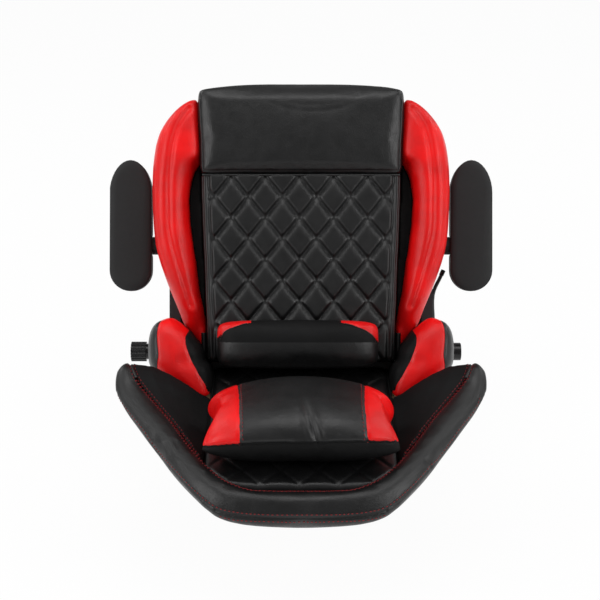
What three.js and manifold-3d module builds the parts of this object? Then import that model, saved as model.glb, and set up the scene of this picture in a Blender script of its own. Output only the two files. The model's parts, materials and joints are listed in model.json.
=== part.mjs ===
// Gaming rocker chair for the floor: a bucket seat on two bent rocker runners, a reclining back with a
// diamond-quilted middle, armrests that flip up beside the back, a lumbar pillow and a loose bow-tie pillow.
// Millimetres, +Z up, the sitter faces -Y. The origin is the middle of the whole chair's box, on the floor.
import * as THREE from "three";
import { mergeVertices } from "three/addons/utils/BufferGeometryUtils.js";
import Module from "manifold-3d";

const wasm = await Module();
wasm.setup();

// Stance
const junctionHeight = 222; // where the seat's surface meets the back's plane, above the floor
const seatTiltDegrees = 5; // the seat's front is higher
const backReclineDegrees = 31; // from upright, in the photographed setting
const gap = 0.3; // between pieces that touch
const softGap = 1.2; // between cushions side by side

// Seat cushion, in the seat's own frame: across, forward from the junction, up from the seat's plane
const seatHalfWidth = 318; // to the outer seam of the bolster at its rear tips
const seatDepth = 450; // junction to the outer seam at the front
const wingRise = 88; // top of the bolster's rear tips above the seat's plane
const cushionThickness = 58; // seat's plane down to the seat board
const seatCrown = 9; // middle of the seat pad above its edges
const seatPadHalfWidth = 160;
const seatPadRear = 14;
const seatPadFront = 403;
const bolsterHeight = 71; // seat's plane down to the bolster's lower edge
const bolsterPuff = 9; // how far the bolster swells between its seams
const bolsterSideBulge = 5;
const bolsterSeamDrop = 12;
const sidePanelRear = 131;
const sidePanelFront = 337;
const sidePanelTipRear = 144;
const sidePanelFootRise = 2;
const armTrimDrop = 80; // most that the underside of a raised arm starts below the outer seam
const armTrimClear = 12; // how far the cut that shapes the arms' undersides stands outside the seam
const armTrimReach = 160; // how far that cut reaches beyond the bolster
const armTrimBase = 110; // seat's plane down to that cut's lower face

// Seat board, rails and hinge plates
const boardThickness = 12;
const railSide = 25;
const railOuter = 225; // outer face of the side rails, from the middle
const railRear = -40;
const railFront = 214;
const crossRailRearPlace = 62;
const crossRailFrontPlace = 200;
const plateThickness = 5;
const plateRearRadius = 27;
const plateLegFront = 138;
const boltHeadRadius = 7;
const boltHeadHeight = 5;
const boltSpacing = 56;
const boltFrontPlace = 104;

// Rocker runners, in the floor's frame, with lengths from the junction
const runnerHalfTrack = 155;
const runnerTubeRadius = 14;
const runnerArcRadius = 700;
const runnerFront = -206;
const runnerRear = 215;
const runnerFrontBend = 42;
const runnerRearBend = 24;
const footPadLength = 150;
const footPadWidth = 26;
const footPadThickness = 6; // under the tube
const footPadHug = 7; // how far the pad rises beside the tube
const restPlace = -20; // the middle of the foot pads, under the chair's centre of mass
const crossTubeRadius = 9;
const crossTubeFrontPlace = -150;
const crossTubeRearPlace = 140;
const bumperThickness = 6; // rubber sleeve on the rear end of each runner's arc

// Back cushions, in the back's own frame: across, up the back from the junction, forward from its plane
const backHeight = 512;
const padHalfWidthTop = 190;
const padHalfWidthBottom = 173;
const padSeamHeight = 343; // seam between the head part and the quilting
const padBottom = -2;
const headFace = 66;
const headCrown = 7;
const padEdgeRound = 13;
const padEdgeDrop = 15;
const quiltFace = 55; // at the quilting's seams
const tuftRise = 6.5;
const quiltPitch = 63; // across, between seams that cross on one line
const quiltRise = 77; // up, between the same
const cushionBase = -17.7; // rear side of the front cushions
const wingHalfWidth = 275;
const wingFace = 64; // crest of the wings
const wingBottom = 18;
const wingTop = 488;
const insertTop = 368.3;
const insertFace = 30;
const hipHalfWidth = 280;
const hipTop = 82;
const hipBottom = -62;
const hipFace = 112;
const hipClearOfSeat = 16; // how far the hips reach below the seat's plane
const hipPocketInner = 222; // the hips' deep part ends here, inside the hinge
const hipPocketFace = 36;

// Back board, rear cover and frame
const backBoardThickness = 6;
const rearCoverDepth = 46;
const rearCoverWall = 6;
const rearCoverHalfWidth = 250;
const rearCoverTop = 497;
const rearCoverBottom = 34;
const hoopTubeRadius = 11;
const hoopHalfWidth = 150;
const hoopTop = 440;
const hoopBottom = 60;
const hoopBend = 60;

// Recline hinge
const hingeUp = 14; // the axis in the back's frame
const hingeForward = -48;
const discRadius = 27;
const discThickness = 12;
const armThickness = 8;
const armTop = 150;
const armBoxBottom = 52;
const armFrontFace = -25;
const armRearFace = -65;
const armFootRadius = 25;
const shaftRadius = 6;
const shaftClearance = 0.3;
const knobInner = 297;
const knobLength = 29;
const knobRadius = 19;
const knobRidgeDepth = 1.8;
const knobRidgeCount = 18;
const knobHubRadius = 15;
const capOuter = 307;
const capRadius = 17;
const leverHubRadius = 14;
const leverHubWidth = 11;
const leverRodRadius = 3.6;
const leverStraight = 112; // from the axis up to the bend
const leverReach = 146; // from the axis up to the end
const leverSetBack = 18; // the rod stands this far behind the axis, clear of the armrest
const leverFlare = 15; // how far the end stands outwards
const leverGripRadius = 4.5;
const leverGripLength = 12;

// Armrests, raised beside the back
const armrestMiddle = 323.5; // across, from the chair's middle
const armrestHalfWidth = 40;
const armrestBottom = 130;
const armrestTop = 379;
const armrestTipLength = 62; // the pointed upper end
const armrestFrontFace = -12; // the hard underside faces forward while raised
const armrestShellThickness = 13;
const armrestPadThickness = 26;
const armrestPadInset = 2.5;
const armrestDome = 2.2;
const pivotUp = 217;
const pivotForward = -36;
const pivotBoltRadius = 5;
const pivotBossRadius = 17;
const pivotBossInner = 262.5;
const pivotBossOuter = 297;
const pivotBracketRadius = 18;
const pivotBracketPlate = 5;

// Pillows
const lumbarHalfLength = 146;
const lumbarAside = -6; // it sits a little to the left of the picture
const lumbarUp = 33; // middle, in the back's frame
const lumbarHalfHeight = 43;
const lumbarRear = 61.7;
const lumbarFront = 127;
const looseHalfLength = 163;
const looseRear = 200;
const looseFront = 389;
const looseFrontSweep = 15; // how far the front edge's ends lie behind its middle
const looseEndLift = 20; // how far the underside rises at the ends
const looseBottom = 4;
const looseTop = 102;
const looseNotch = 13; // how deep the ends are notched
const looseSetForward = 9; // the rear edge's corners lie this much further forward than its middle

// Numbers of facets
const tubeSides = 12;
const roundSides = 24;
const bendSteps = 8;
const arcSteps = 22;
const bumperSteps = 4; // of the runner's arc
const weldDistance = 0.0001;

const cos = (degrees) => Math.cos(THREE.MathUtils.degToRad(degrees));
const sin = (degrees) => Math.sin(THREE.MathUtils.degToRad(degrees));
const mix = THREE.MathUtils.lerp;
const openingDegrees = backReclineDegrees - seatTiltDegrees; // the back leans this far past square to the seat

// Colours and finishes
const finish = (color, roughness, metalness = 0) =>
  new THREE.MeshStandardMaterial({ color, roughness, metalness });
const blackLeather = () => finish(0x1c1c1e, 0.42);
const redLeather = () => finish(0xd3161a, 0.42);
const mattBlackLeather = () => finish(0x19191a, 0.65);
const armrestGrey = () => finish(0x2d2d2e, 0.62);
const blackSteel = () => finish(0x17181a, 0.45, 0.6);
const zincSteel = () => finish(0x8d9094, 0.35, 0.9);
const glossBlack = () => finish(0x0e0e10, 0.2);
const rubberBlack = () => finish(0x151515, 0.85);
const plywood = () => finish(0x9c7a52, 0.75);

// The value at a place on a smooth line through [place, value] rows
function valueAt(rows, place) {
  const last = rows.length - 1;
  let i = 0;
  while (i < last - 1 && place > rows[i + 1][0]) i += 1;
  const slope = (a, b) => (rows[b][1] - rows[a][1]) / (rows[b][0] - rows[a][0]);
  const [start, end] = [rows[i], rows[i + 1]];
  const width = end[0] - start[0];
  const t = THREE.MathUtils.clamp((place - start[0]) / width, 0, 1);
  const leave = slope(Math.max(i - 1, 0), i + 1) * width;
  const arrive = slope(i, Math.min(i + 2, last)) * width;
  const t2 = t * t;
  const t3 = t2 * t;
  const ends = (2 * t3 - 3 * t2 + 1) * start[1] + (3 * t2 - 2 * t3) * end[1];
  return ends + (t3 - 2 * t2 + t) * leave + (t3 - t2) * arrive;
}

// A closed body from its corners and triangles, turned so that it faces out
function bodyOf(corners, triangles) {
  const volume = triangles.reduce((sum, [a, b, c]) => {
    const normal = new THREE.Vector3().crossVectors(corners[b], corners[c]);
    return sum + corners[a].dot(normal);
  }, 0);
  const outward = volume < 0 ? triangles.map(([a, b, c]) => [a, c, b]) : triangles;
  const geometry = new THREE.BufferGeometry();
  geometry.setAttribute("position", new THREE.Float32BufferAttribute(corners.flatMap((p) => p.toArray()), 3));
  geometry.setIndex(outward.flat());
  geometry.computeVertexNormals();
  return geometry;
}

// A skin over rings with as many points each; the rings at its ends are filled, unless it closes on itself
function skin(rings, closes = false) {
  const count = rings[0].length;
  const corners = rings.flat();
  const triangles = [];
  const bands = closes ? rings.length : rings.length - 1;
  for (let r = 0; r < bands; r += 1) {
    const here = r * count;
    const next = ((r + 1) % rings.length) * count;
    for (let k = 0; k < count; k += 1) {
      const l = (k + 1) % count;
      triangles.push([here + k, here + l, next + l], [here + k, next + l, next + k]);
    }
  }
  if (!closes) {
    fillRing(rings[0], 0, triangles, true);
    fillRing(rings[rings.length - 1], corners.length - count, triangles, false);
  }
  return bodyOf(corners, triangles);
}

// Triangles over one flat ring whose first corner has the number start, cut off ear by ear, the fullest first
function fillRing(ring, start, triangles, reversed) {
  const normal = ring.reduce((sum, p, k) => {
    const q = ring[(k + 1) % ring.length];
    return sum.add(new THREE.Vector3().crossVectors(p, q));
  }, new THREE.Vector3());
  const turn = new THREE.Quaternion().setFromUnitVectors(normal.normalize(), new THREE.Vector3(0, 0, 1));
  const flat = ring.map((p) => p.clone().applyQuaternion(turn));
  const area = (a, b, c) => (b.x - a.x) * (c.y - a.y) - (b.y - a.y) * (c.x - a.x);
  const left = ring.map((_, k) => k);
  while (left.length > 3) {
    let best = { fullness: -Infinity, at: 0 };
    left.forEach((here, at) => {
      const before = left[(at + left.length - 1) % left.length];
      const after = left[(at + 1) % left.length];
      const [a, b, c] = [flat[before], flat[here], flat[after]];
      const longest = Math.max(a.distanceToSquared(b), b.distanceToSquared(c), c.distanceToSquared(a));
      const holds = (k) =>
        ![before, here, after].includes(k) &&
        area(a, b, flat[k]) >= 0 && area(b, c, flat[k]) >= 0 && area(c, a, flat[k]) >= 0;
      // A corner whose face would cover another corner comes after all that cover none.
      const fullness = area(a, b, c) / longest - (left.some(holds) ? 2 : 0);
      if (fullness > best.fullness) best = { fullness, at, face: [before, here, after] };
    });
    const face = best.face.map((k) => start + k);
    triangles.push(reversed ? face.reverse() : face);
    left.splice(best.at, 1);
  }
  const face = left.map((k) => start + k);
  triangles.push(reversed ? face.reverse() : face);
}

// A cushion from a grid of points on its upper side, closed by straight walls and a flat base.
// at(i, j) gives a point, foot(point) the place below it, leans(i, j) which way a cell's diagonal runs.
function cushion(columns, rows, at, foot, leans) {
  const corners = [];
  for (let j = 0; j <= rows; j += 1) for (let i = 0; i <= columns; i += 1) corners.push(at(i, j));
  const number = (i, j) => j * (columns + 1) + i;
  const triangles = [];
  for (let j = 0; j < rows; j += 1) {
    for (let i = 0; i < columns; i += 1) {
      const [a, b, c, d] = [number(i, j), number(i + 1, j), number(i + 1, j + 1), number(i, j + 1)];
      if (leans(i, j)) triangles.push([a, b, d], [b, c, d]);
      else triangles.push([a, b, c], [a, c, d]);
    }
  }
  const rim = [];
  for (let i = 0; i < columns; i += 1) rim.push(number(i, 0));
  for (let j = 0; j < rows; j += 1) rim.push(number(columns, j));
  for (let i = columns; i > 0; i -= 1) rim.push(number(i, rows));
  for (let j = rows; j > 0; j -= 1) rim.push(number(0, j));
  const start = corners.length;
  const base = rim.map((n) => foot(corners[n]));
  corners.push(...base);
  rim.forEach((n, k) => {
    const next = (k + 1) % rim.length;
    triangles.push([n, start + k, start + next], [n, start + next, rim[next]]);
  });
  fillRing(base, start, triangles, true);
  return bodyOf(corners, triangles);
}

// A round tube along points that lie in a plane square to across
function bentTube(points, across, radius, closes = false) {
  const last = points.length - 1;
  const rings = points.map((point, i) => {
    const before = points[i > 0 ? i - 1 : closes ? last : 0];
    const after = points[i < last ? i + 1 : closes ? 0 : last];
    const along = after.clone().sub(before).normalize();
    const up = new THREE.Vector3().crossVectors(along, across);
    return Array.from({ length: tubeSides }, (_, k) => {
      const angle = (2 * Math.PI * k) / tubeSides;
      return point
        .clone()
        .addScaledVector(across, radius * Math.cos(angle))
        .addScaledVector(up, radius * Math.sin(angle));
    });
  });
  return skin(rings, closes);
}

// A straight round bar between two points
function bar(from, to, radius, sides = tubeSides) {
  const middle = from.clone().lerp(to, 1 / 2);
  const along = to.clone().sub(from).normalize();
  const turn = new THREE.Quaternion().setFromUnitVectors(new THREE.Vector3(0, 1, 0), along);
  return new THREE.CylinderGeometry(radius, radius, from.distanceTo(to), sides)
    .applyQuaternion(turn)
    .translate(middle.x, middle.y, middle.z);
}

// A box between two opposite corners
function boxBetween(low, high) {
  const size = high.clone().sub(low);
  const middle = low.clone().add(high).divideScalar(2);
  return new THREE.BoxGeometry(size.x, size.y, size.z).translate(middle.x, middle.y, middle.z);
}

// Solids that can be joined and cut
function toSolid(geometry) {
  const plain = geometry.clone();
  plain.deleteAttribute("normal");
  plain.deleteAttribute("uv");
  const merged = mergeVertices(plain, weldDistance);
  return new wasm.Manifold(
    new wasm.Mesh({
      numProp: 3,
      vertProperties: merged.attributes.position.array,
      triVerts: new Uint32Array(merged.index.array),
    }),
  );
}

function toGeometry(solid) {
  const mesh = solid.getMesh();
  const geometry = new THREE.BufferGeometry();
  geometry.setAttribute("position", new THREE.BufferAttribute(mesh.vertProperties, 3));
  geometry.setIndex(new THREE.BufferAttribute(mesh.triVerts, 1));
  geometry.computeVertexNormals();
  return geometry;
}

const cut = (body, ...tools) =>
  toGeometry(tools.reduce((left, tool) => left.subtract(toSolid(tool)), toSolid(body)));
const join = (...bodies) => toGeometry(bodies.map(toSolid).reduce((sum, body) => sum.add(body)));

// The largest of the bodies that a cut leaves
function largest(geometry) {
  const bodies = toSolid(geometry).decompose();
  return toGeometry(bodies.reduce((best, body) => (body.volume() > best.volume() ? body : best)));
}

// The chair's groups: each has the frame that its pieces are drawn in
const chair = new THREE.Group();
const floorGroup = new THREE.Group();
const seatGroup = new THREE.Group();
const backGroup = new THREE.Group();
chair.add(floorGroup, seatGroup, backGroup);
seatGroup.position.z = junctionHeight;
backGroup.position.z = junctionHeight;
seatGroup.rotation.x = -THREE.MathUtils.degToRad(seatTiltDegrees);
backGroup.rotation.x = -THREE.MathUtils.degToRad(backReclineDegrees);

// A point of the seat or the back: across, then forward and up, or up and forward
const onSeat = (across, forward, up) => new THREE.Vector3(across, -forward, up);
const onBack = (across, up, forward) => new THREE.Vector3(across, -forward, up);

// The hinge axis as it lies in the seat's frame
const hingeOnSeat = {
  forward: hingeForward * cos(openingDegrees) - hingeUp * sin(openingDegrees),
  up: hingeForward * sin(openingDegrees) + hingeUp * cos(openingDegrees),
};

function piece(group, name, geometry, material) {
  const mesh = new THREE.Mesh(geometry, material);
  mesh.name = name;
  group.add(mesh);
  return mesh;
}

// One piece on each side; make(side) builds it, with side -1 for the left of the picture and 1 for the right
function pair(group, name, make, material) {
  piece(group, `${name}_left`, make(-1), material);
  piece(group, `${name}_right`, make(1), material);
}

// Seat

// The bolster's seams, from the front's middle to the rear tip: shares of the seat's half width, depth and rise
const innerSeamShares = [
  [0, 0.911, 0],
  [0.17, 0.91, 0],
  [0.28, 0.903, 0.01],
  [0.374, 0.87, 0.04],
  [0.45, 0.822, 0.09],
  [0.522, 0.753, 0.16],
  [0.591, 0.68, 0.23],
  [0.686, 0.578, 0.36],
  [0.764, 0.511, 0.48],
  [0.857, 0.435, 0.66],
  [0.895, 0.405, 0.77],
  [0.918, 0.372, 0.85],
  [0.928, 0.335, 0.87],
];
const outerSeamShares = [
  [0, 1, -0.32],
  [0.17, 1, -0.32],
  [0.325, 0.987, -0.3],
  [0.43, 0.962, -0.25],
  [0.53, 0.9, -0.13],
  [0.63, 0.817, -0.03],
  [0.72, 0.73, 0.08],
  [0.8, 0.653, 0.2],
  [0.88, 0.573, 0.35],
  [0.96, 0.49, 0.5],
  [1.0, 0.44, 0.62],
  [1.012, 0.4, 0.74],
  [1.0, 0.355, 0.84],
  [0.965, 0.325, 0.87],
];
const seamPoint = ([across, forward, up]) =>
  onSeat(across * seatHalfWidth, forward * seatDepth, up * wingRise);
const mirrored = (rows) => [...rows.slice(1).reverse().map(([a, b, c]) => [-a, b, c]), ...rows];
const innerSeam = new THREE.CatmullRomCurve3(mirrored(innerSeamShares).map(seamPoint), false, "centripetal");
const outerSeam = new THREE.CatmullRomCurve3(mirrored(outerSeamShares).map(seamPoint), false, "centripetal");

// The half width inside the inner seam at a place forward on the seat
function insideSeamAt(forward) {
  const rows = innerSeamShares.slice(1).map(([a, b]) => [b * seatDepth, a * seatHalfWidth]);
  return valueAt(rows.reverse(), forward);
}

const seatBase = -cushionThickness;

// The bolster's section: [share of the way from the inner to the outer seam, share of the puff]
const bolsterTopShares = [
  [0.1, 0.1],
  [0.33, 1],
  [0.67, 1],
];
const bolsterFootShare = 0.17;
// Along the seams, by their share of the half width: the bolster's height and its side's bulge
const bolsterHeightShares = [
  [0, 1],
  [0.4, 1],
  [0.6, 0.85],
  [1, 0.85],
];
const bolsterBulgeShares = [
  [0, 1],
  [0.35, 1],
  [0.55, 0.5],
  [1, 0.45],
];

// Under the raised arms, by the share of the half width: where the underside starts, in shares of armTrimDrop
const armTrimDropShares = [
  [0.4, 0.9375],
  [0.55, 0.5],
  [0.68, 0.1375],
  [1, 0.1125],
];
const armTrimSlope = 1.45; // how steeply the underside falls inwards
const armTrimSpanShare = 0.34; // of the outer seam's length, from each tip

// Everything below a raised arm's slanting underside, as a tool
function armTrim(side) {
  const stations = 16;
  const rings = [];
  for (let s = 0; s <= stations; s += 1) {
    const t = mix(0, armTrimSpanShare, s / stations);
    const seam = outerSeam.getPoint(side < 0 ? t : 1 - t);
    const tangent = outerSeam.getTangent(side < 0 ? t : 1 - t);
    const outward = new THREE.Vector3(side * Math.abs(tangent.y), -Math.abs(tangent.x), 0).normalize();
    const drop = armTrimDrop * valueAt(armTrimDropShares, Math.abs(seam.x) / seatHalfWidth);
    const at = (out, height) => new THREE.Vector3(seam.x, seam.y, height).addScaledVector(outward, out);
    const top = seam.z - drop;
    rings.push([
      at(armTrimClear, top + armTrimClear * armTrimSlope),
      at(-(top + armTrimBase) / armTrimSlope, -armTrimBase),
      at(armTrimReach, -armTrimBase),
      at(armTrimReach, top + armTrimClear * armTrimSlope),
    ]);
  }
  const beyond = rings[0].map((point) => point.clone().add(new THREE.Vector3(0, armTrimReach, 0)));
  return skin([beyond, ...rings]);
}
const bolsterTipShare = 0.05; // of the bolster's length, at each end, that rounds off
const bolsterTipEndShare = 0.5; // how large its last section is

function seatBolster() {
  const stations = 44;
  const rings = [];
  for (let s = 0; s <= stations; s += 1) {
    const t = s / stations;
    const inner = innerSeam.getPoint(t);
    const outer = outerSeam.getPoint(t);
    const tangent = outerSeam.getTangent(t);
    const outward = new THREE.Vector3(-tangent.y, tangent.x, 0).normalize();
    if (outward.dot(outer.clone().sub(inner)) < 0) outward.negate();
    const up = new THREE.Vector3(0, 0, 1);
    const place = Math.abs(inner.x) / seatHalfWidth;
    const low = -bolsterHeight * valueAt(bolsterHeightShares, place);
    const sideBulge = bolsterSideBulge * valueAt(bolsterBulgeShares, place);
    const foot = (share) => {
      const point = inner.clone().lerp(outer, share);
      return new THREE.Vector3(point.x, point.y, low);
    };
    const swell = (share, puff) => inner.clone().lerp(outer, share).addScaledVector(up, puff * bolsterPuff);
    const bulge = (out, down) => outward.clone().multiplyScalar(out).addScaledVector(up, -down);
    const side = (out, down) => outer.clone().addScaledVector(bulge(out, down), sideBulge);
    const ring = [
      foot(0),
      inner.clone().addScaledVector(up, -bolsterSeamDrop),
      ...bolsterTopShares.map(([share, puff]) => swell(share, puff)),
      outer.clone(),
      side(1, 2),
      side(1 / 4, 4),
      foot(bolsterFootShare),
    ];
    const toTip = Math.min(1, Math.min(t, 1 - t) / bolsterTipShare);
    const size = mix(bolsterTipEndShare, 1, Math.sqrt(1 - (1 - toTip) ** 2));
    const middle = inner.clone().lerp(outer, 1 / 2);
    rings.push(ring.map((point) => middle.clone().lerp(point, size)));
  }
  return skin(rings);
}

const padCornerShare = 0.7; // of the seat's depth, where the pad starts to follow the bolster's corners

// Seat pad: rows and columns follow the quilting, with a rounded border
function seatPad() {
  const columnStep = quiltPitch / 4;
  const inside = Math.floor((seatPadHalfWidth - padEdgeRound) / columnStep);
  const rowStep = quiltRise / 4;
  const innerRows = Math.floor((seatPadFront - seatPadRear - 2 * padEdgeRound) / rowStep);
  const columns = 2 * inside + 4;
  const rows = innerRows + 4;
  const cornerStart = seatDepth * padCornerShare;
  const at = (i, j) => {
    const row = j < 2 ? -1 : j > rows - 2 ? 1 : 0;
    let forward = seatPadRear + padEdgeRound + (j - 2) * rowStep;
    if (row < 0) forward = seatPadRear + (j * padEdgeRound) / 2;
    if (row > 0) forward = seatPadFront - ((rows - j) * padEdgeRound) / 2;
    const insideSeam = insideSeamAt(forward + softGap) - softGap;
    const edge = forward < cornerStart ? seatPadHalfWidth : Math.min(seatPadHalfWidth, insideSeam);
    const squeeze = edge / seatPadHalfWidth;
    const k = i - inside - 2;
    let across = k * columnStep * squeeze;
    const column = i < 2 ? -1 : i > columns - 2 ? 1 : 0;
    if (column !== 0) across = column * (edge - ((column < 0 ? i : columns - i) * padEdgeRound) / 2);
    const border = Math.min(j, rows - j, i, columns - i);
    const edgeDrop = border === 0 ? padEdgeDrop : border === 1 ? padEdgeDrop / 3 : 0;
    const quilted = column === 0 && row === 0;
    const a = (k + (j - 2)) / 4;
    const b = (k - (j - 2)) / 4;
    const tuft = quilted ? tuftRise * Math.sqrt(Math.abs(Math.sin(Math.PI * a) * Math.sin(Math.PI * b))) : 0;
    const place = (forward - seatPadRear) / (seatPadFront - seatPadRear);
    const crown = seatCrown * Math.sin(Math.PI * Math.sqrt(place)) * (1 - (across / seatPadHalfWidth) ** 2);
    return onSeat(across, forward, crown + tuft - tuftRise - edgeDrop);
  };
  const foot = (point) => new THREE.Vector3(point.x, point.y, seatBase);
  const leans = (i, j) => (i - inside - 2 + (j - 2) + 1) % 4 === 0;
  return cushion(columns, rows, at, foot, leans);
}

// Inner side panel: from the seat pad's edge up to the bolster's inner seam
function sidePanel(side) {
  const stations = 12;
  const innerAcross = seatPadHalfWidth + 2 * gap;
  const acrossShares = [0, 0.14, 0.3, 0.5, 0.75, 1];
  const riseShares = [0, 0.16, 0.42, 0.7, 0.97, 1.06];
  const rings = [];
  for (let s = 0; s <= stations; s += 1) {
    const t = s / stations;
    const innerForward = mix(sidePanelRear, sidePanelFront, t);
    const outerForward = mix(sidePanelTipRear + gap, sidePanelFront, t);
    const outerAcross = Math.max(insideSeamAt(outerForward) - softGap, innerAcross + gap);
    const rimShares = innerSeamShares.slice(3).map(([a, , c]) => [a, c]);
    const rim = wingRise * valueAt(rimShares, outerAcross / seatHalfWidth);
    const lift = rim - bolsterSeamDrop / 2;
    const top = acrossShares.map((share, k) => {
      const rise = mix(riseShares[k], share, t);
      return onSeat(
        side * mix(innerAcross, outerAcross, share),
        mix(innerForward, outerForward, share),
        mix(sidePanelFootRise - tuftRise, Math.max(lift, sidePanelFootRise - tuftRise), rise),
      );
    });
    rings.push([
      onSeat(side * innerAcross, innerForward, seatBase),
      ...top,
      onSeat(side * outerAcross, outerForward, seatBase),
    ]);
  }
  return skin(rings);
}

// Plywood board under the seat's cushions, just inside the bolster: shares of the inner seam's length and size
const boardEndShare = 0.0625;
const boardSizeShare = 0.983;

function seatBoard() {
  const shape = new THREE.Shape();
  const steps = 26;
  const rearWidth = railOuter - gap;
  shape.moveTo(-rearWidth, -seatPadRear);
  shape.lineTo(-rearWidth, -plateLegFront - softGap);
  for (let s = 0; s <= steps; s += 1) {
    const p = innerSeam.getPoint(mix(boardEndShare, 1 - boardEndShare, s / steps));
    shape.lineTo(p.x * boardSizeShare, p.y * boardSizeShare);
  }
  shape.lineTo(rearWidth, -plateLegFront - softGap);
  shape.lineTo(rearWidth, -seatPadRear);
  const depth = boardThickness;
  const board = new THREE.ExtrudeGeometry(shape, { depth, bevelEnabled: false });
  return board.translate(0, 0, seatBase - gap - depth);
}

piece(seatGroup, "seat_bolster", largest(cut(seatBolster(), armTrim(-1), armTrim(1))), blackLeather());
piece(seatGroup, "seat_pad", seatPad(), blackLeather());
pair(seatGroup, "seat_side_panel", (side) => largest(cut(sidePanel(side), armTrim(side))), mattBlackLeather());
piece(seatGroup, "seat_board", largest(cut(seatBoard(), armTrim(-1), armTrim(1))), plywood());

// Rails under the board
const railTop = seatBase - boardThickness - 2 * gap;
const railBottom = railTop - railSide;
const railInner = railOuter - railSide;

pair(
  seatGroup,
  "seat_rail",
  (side) =>
    boxBetween(
      new THREE.Vector3(Math.min(side * railInner, side * railOuter), -railFront, railBottom),
      new THREE.Vector3(Math.max(side * railInner, side * railOuter), -railRear, railTop),
    ),
  blackSteel(),
);
const crossRail = (forward) =>
  boxBetween(
    new THREE.Vector3(-railInner + gap, -forward - railSide / 2, railBottom),
    new THREE.Vector3(railInner - gap, -forward + railSide / 2, railTop),
  );
piece(seatGroup, "cross_rail_front", crossRail(crossRailFrontPlace), blackSteel());
piece(seatGroup, "cross_rail_rear", crossRail(crossRailRearPlace), blackSteel());

// A flat plate in the seat's upright plane, from a shape of (forward, up) points, between two places across
function uprightPlate(shape, side, inner, outer) {
  const options = { depth: outer - inner, bevelEnabled: false, curveSegments: 10 };
  const plate = new THREE.ExtrudeGeometry(shape, options);
  const turn = new THREE.Matrix4().makeBasis(
    new THREE.Vector3(0, -1, 0),
    new THREE.Vector3(0, 0, 1),
    new THREE.Vector3(-1, 0, 0),
  );
  plate.applyMatrix4(turn);
  return plate.translate(side > 0 ? outer : -inner, 0, 0);
}

const plateInner = railOuter + gap;
const plateOuter = plateInner + plateThickness;

function hingePlate(side) {
  const { forward, up } = hingeOnSeat;
  const leg = new THREE.Vector2(plateLegFront - forward, railTop - up);
  const lean = leg.angle();
  const shape = new THREE.Shape();
  shape.absarc(forward, up, plateRearRadius, lean + Math.PI / 2, lean + (3 * Math.PI) / 2, false);
  shape.lineTo(railRear + railSide, railBottom);
  shape.lineTo(plateLegFront, railBottom);
  shape.lineTo(plateLegFront, railTop);
  shape.closePath();
  const hole = bar(
    new THREE.Vector3(side * (plateInner - plateThickness), -forward, up),
    new THREE.Vector3(side * (plateOuter + plateThickness), -forward, up),
    shaftRadius + shaftClearance,
    roundSides,
  );
  return cut(uprightPlate(shape, side, plateInner, plateOuter), hole);
}
pair(seatGroup, "hinge_plate", hingePlate, blackSteel());

// Heads of the bolts that hold each plate to its rail
function plateBolt(side, place) {
  const up = (railTop + railBottom) / 2;
  const from = new THREE.Vector3(side * (plateOuter + gap), -place, up);
  const to = new THREE.Vector3(side * (plateOuter + gap + boltHeadHeight), -place, up);
  return bar(from, to, boltHeadRadius, 6);
}
pair(seatGroup, "plate_bolt_front", (side) => plateBolt(side, boltFrontPlace), zincSteel());
pair(seatGroup, "plate_bolt_rear", (side) => plateBolt(side, boltFrontPlace - boltSpacing), zincSteel());

// Rocker runners: a closed loop of bent tube on each side, with an arc on the floor and a straight upper run
const arcCentre = new THREE.Vector2(restPlace, runnerArcRadius + footPadThickness);
const arcLine = runnerArcRadius - runnerTubeRadius;
const seatToFloor = (forward, up) => {
  const point = onSeat(0, forward, up).applyEuler(seatGroup.rotation);
  return new THREE.Vector2(point.y, point.z + junctionHeight);
};

// A loop of straight and curved stretches through corners, each rounded with its own radius
function runnerPath() {
  const topUp = railBottom - gap - runnerTubeRadius;
  const onArc = (y) => arcCentre.y - Math.sqrt(arcLine ** 2 - (y - arcCentre.x) ** 2);
  const topLine = (y) => {
    const rear = seatToFloor(0, topUp);
    const front = seatToFloor(seatDepth, topUp);
    return mix(rear.y, front.y, (y - rear.x) / (front.x - rear.x));
  };
  const points = [];
  const rearStart = runnerRear - runnerRearBend;
  const frontStart = runnerFront + runnerFrontBend;
  for (let s = 0; s <= arcSteps; s += 1) {
    const y = mix(frontStart, rearStart, s / arcSteps);
    points.push(new THREE.Vector3(0, y, onArc(y)));
  }
  const half = (y) => (topLine(y) - onArc(y)) / 2;
  const turnUp = (y, direction) => {
    const centre = (topLine(y) + onArc(y)) / 2;
    const reach = direction > 0 ? runnerRearBend : runnerFrontBend;
    return Array.from({ length: bendSteps - 1 }, (_, k) => {
      const angle = (180 * (k + 1)) / bendSteps - 90;
      const rise = direction * half(y) * sin(angle);
      return new THREE.Vector3(0, y + direction * reach * cos(angle), centre + rise);
    });
  };
  points.push(...turnUp(rearStart, 1));
  const topSteps = 8;
  for (let s = 0; s <= topSteps; s += 1) {
    const y = mix(rearStart, frontStart, s / topSteps);
    points.push(new THREE.Vector3(0, y, topLine(y)));
  }
  points.push(...turnUp(frontStart, -1));
  return points;
}

const acrossAxis = new THREE.Vector3(1, 0, 0);
const runnerAt = (side, radius) =>
  bentTube(runnerPath(), acrossAxis, radius, true).translate(side * runnerHalfTrack, 0, 0);
pair(floorGroup, "runner", (side) => runnerAt(side, runnerTubeRadius), blackSteel());

function footPad(side) {
  const middle = new THREE.Vector3(side * runnerHalfTrack, restPlace, 0);
  const reach = new THREE.Vector3(footPadWidth / 2, footPadLength / 2, 0);
  const high = new THREE.Vector3(0, 0, footPadThickness + footPadHug);
  const block = boxBetween(middle.clone().sub(reach), middle.clone().add(reach).add(high));
  return cut(block, runnerAt(side, runnerTubeRadius + gap));
}
pair(floorGroup, "foot_pad", footPad, rubberBlack());

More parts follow.
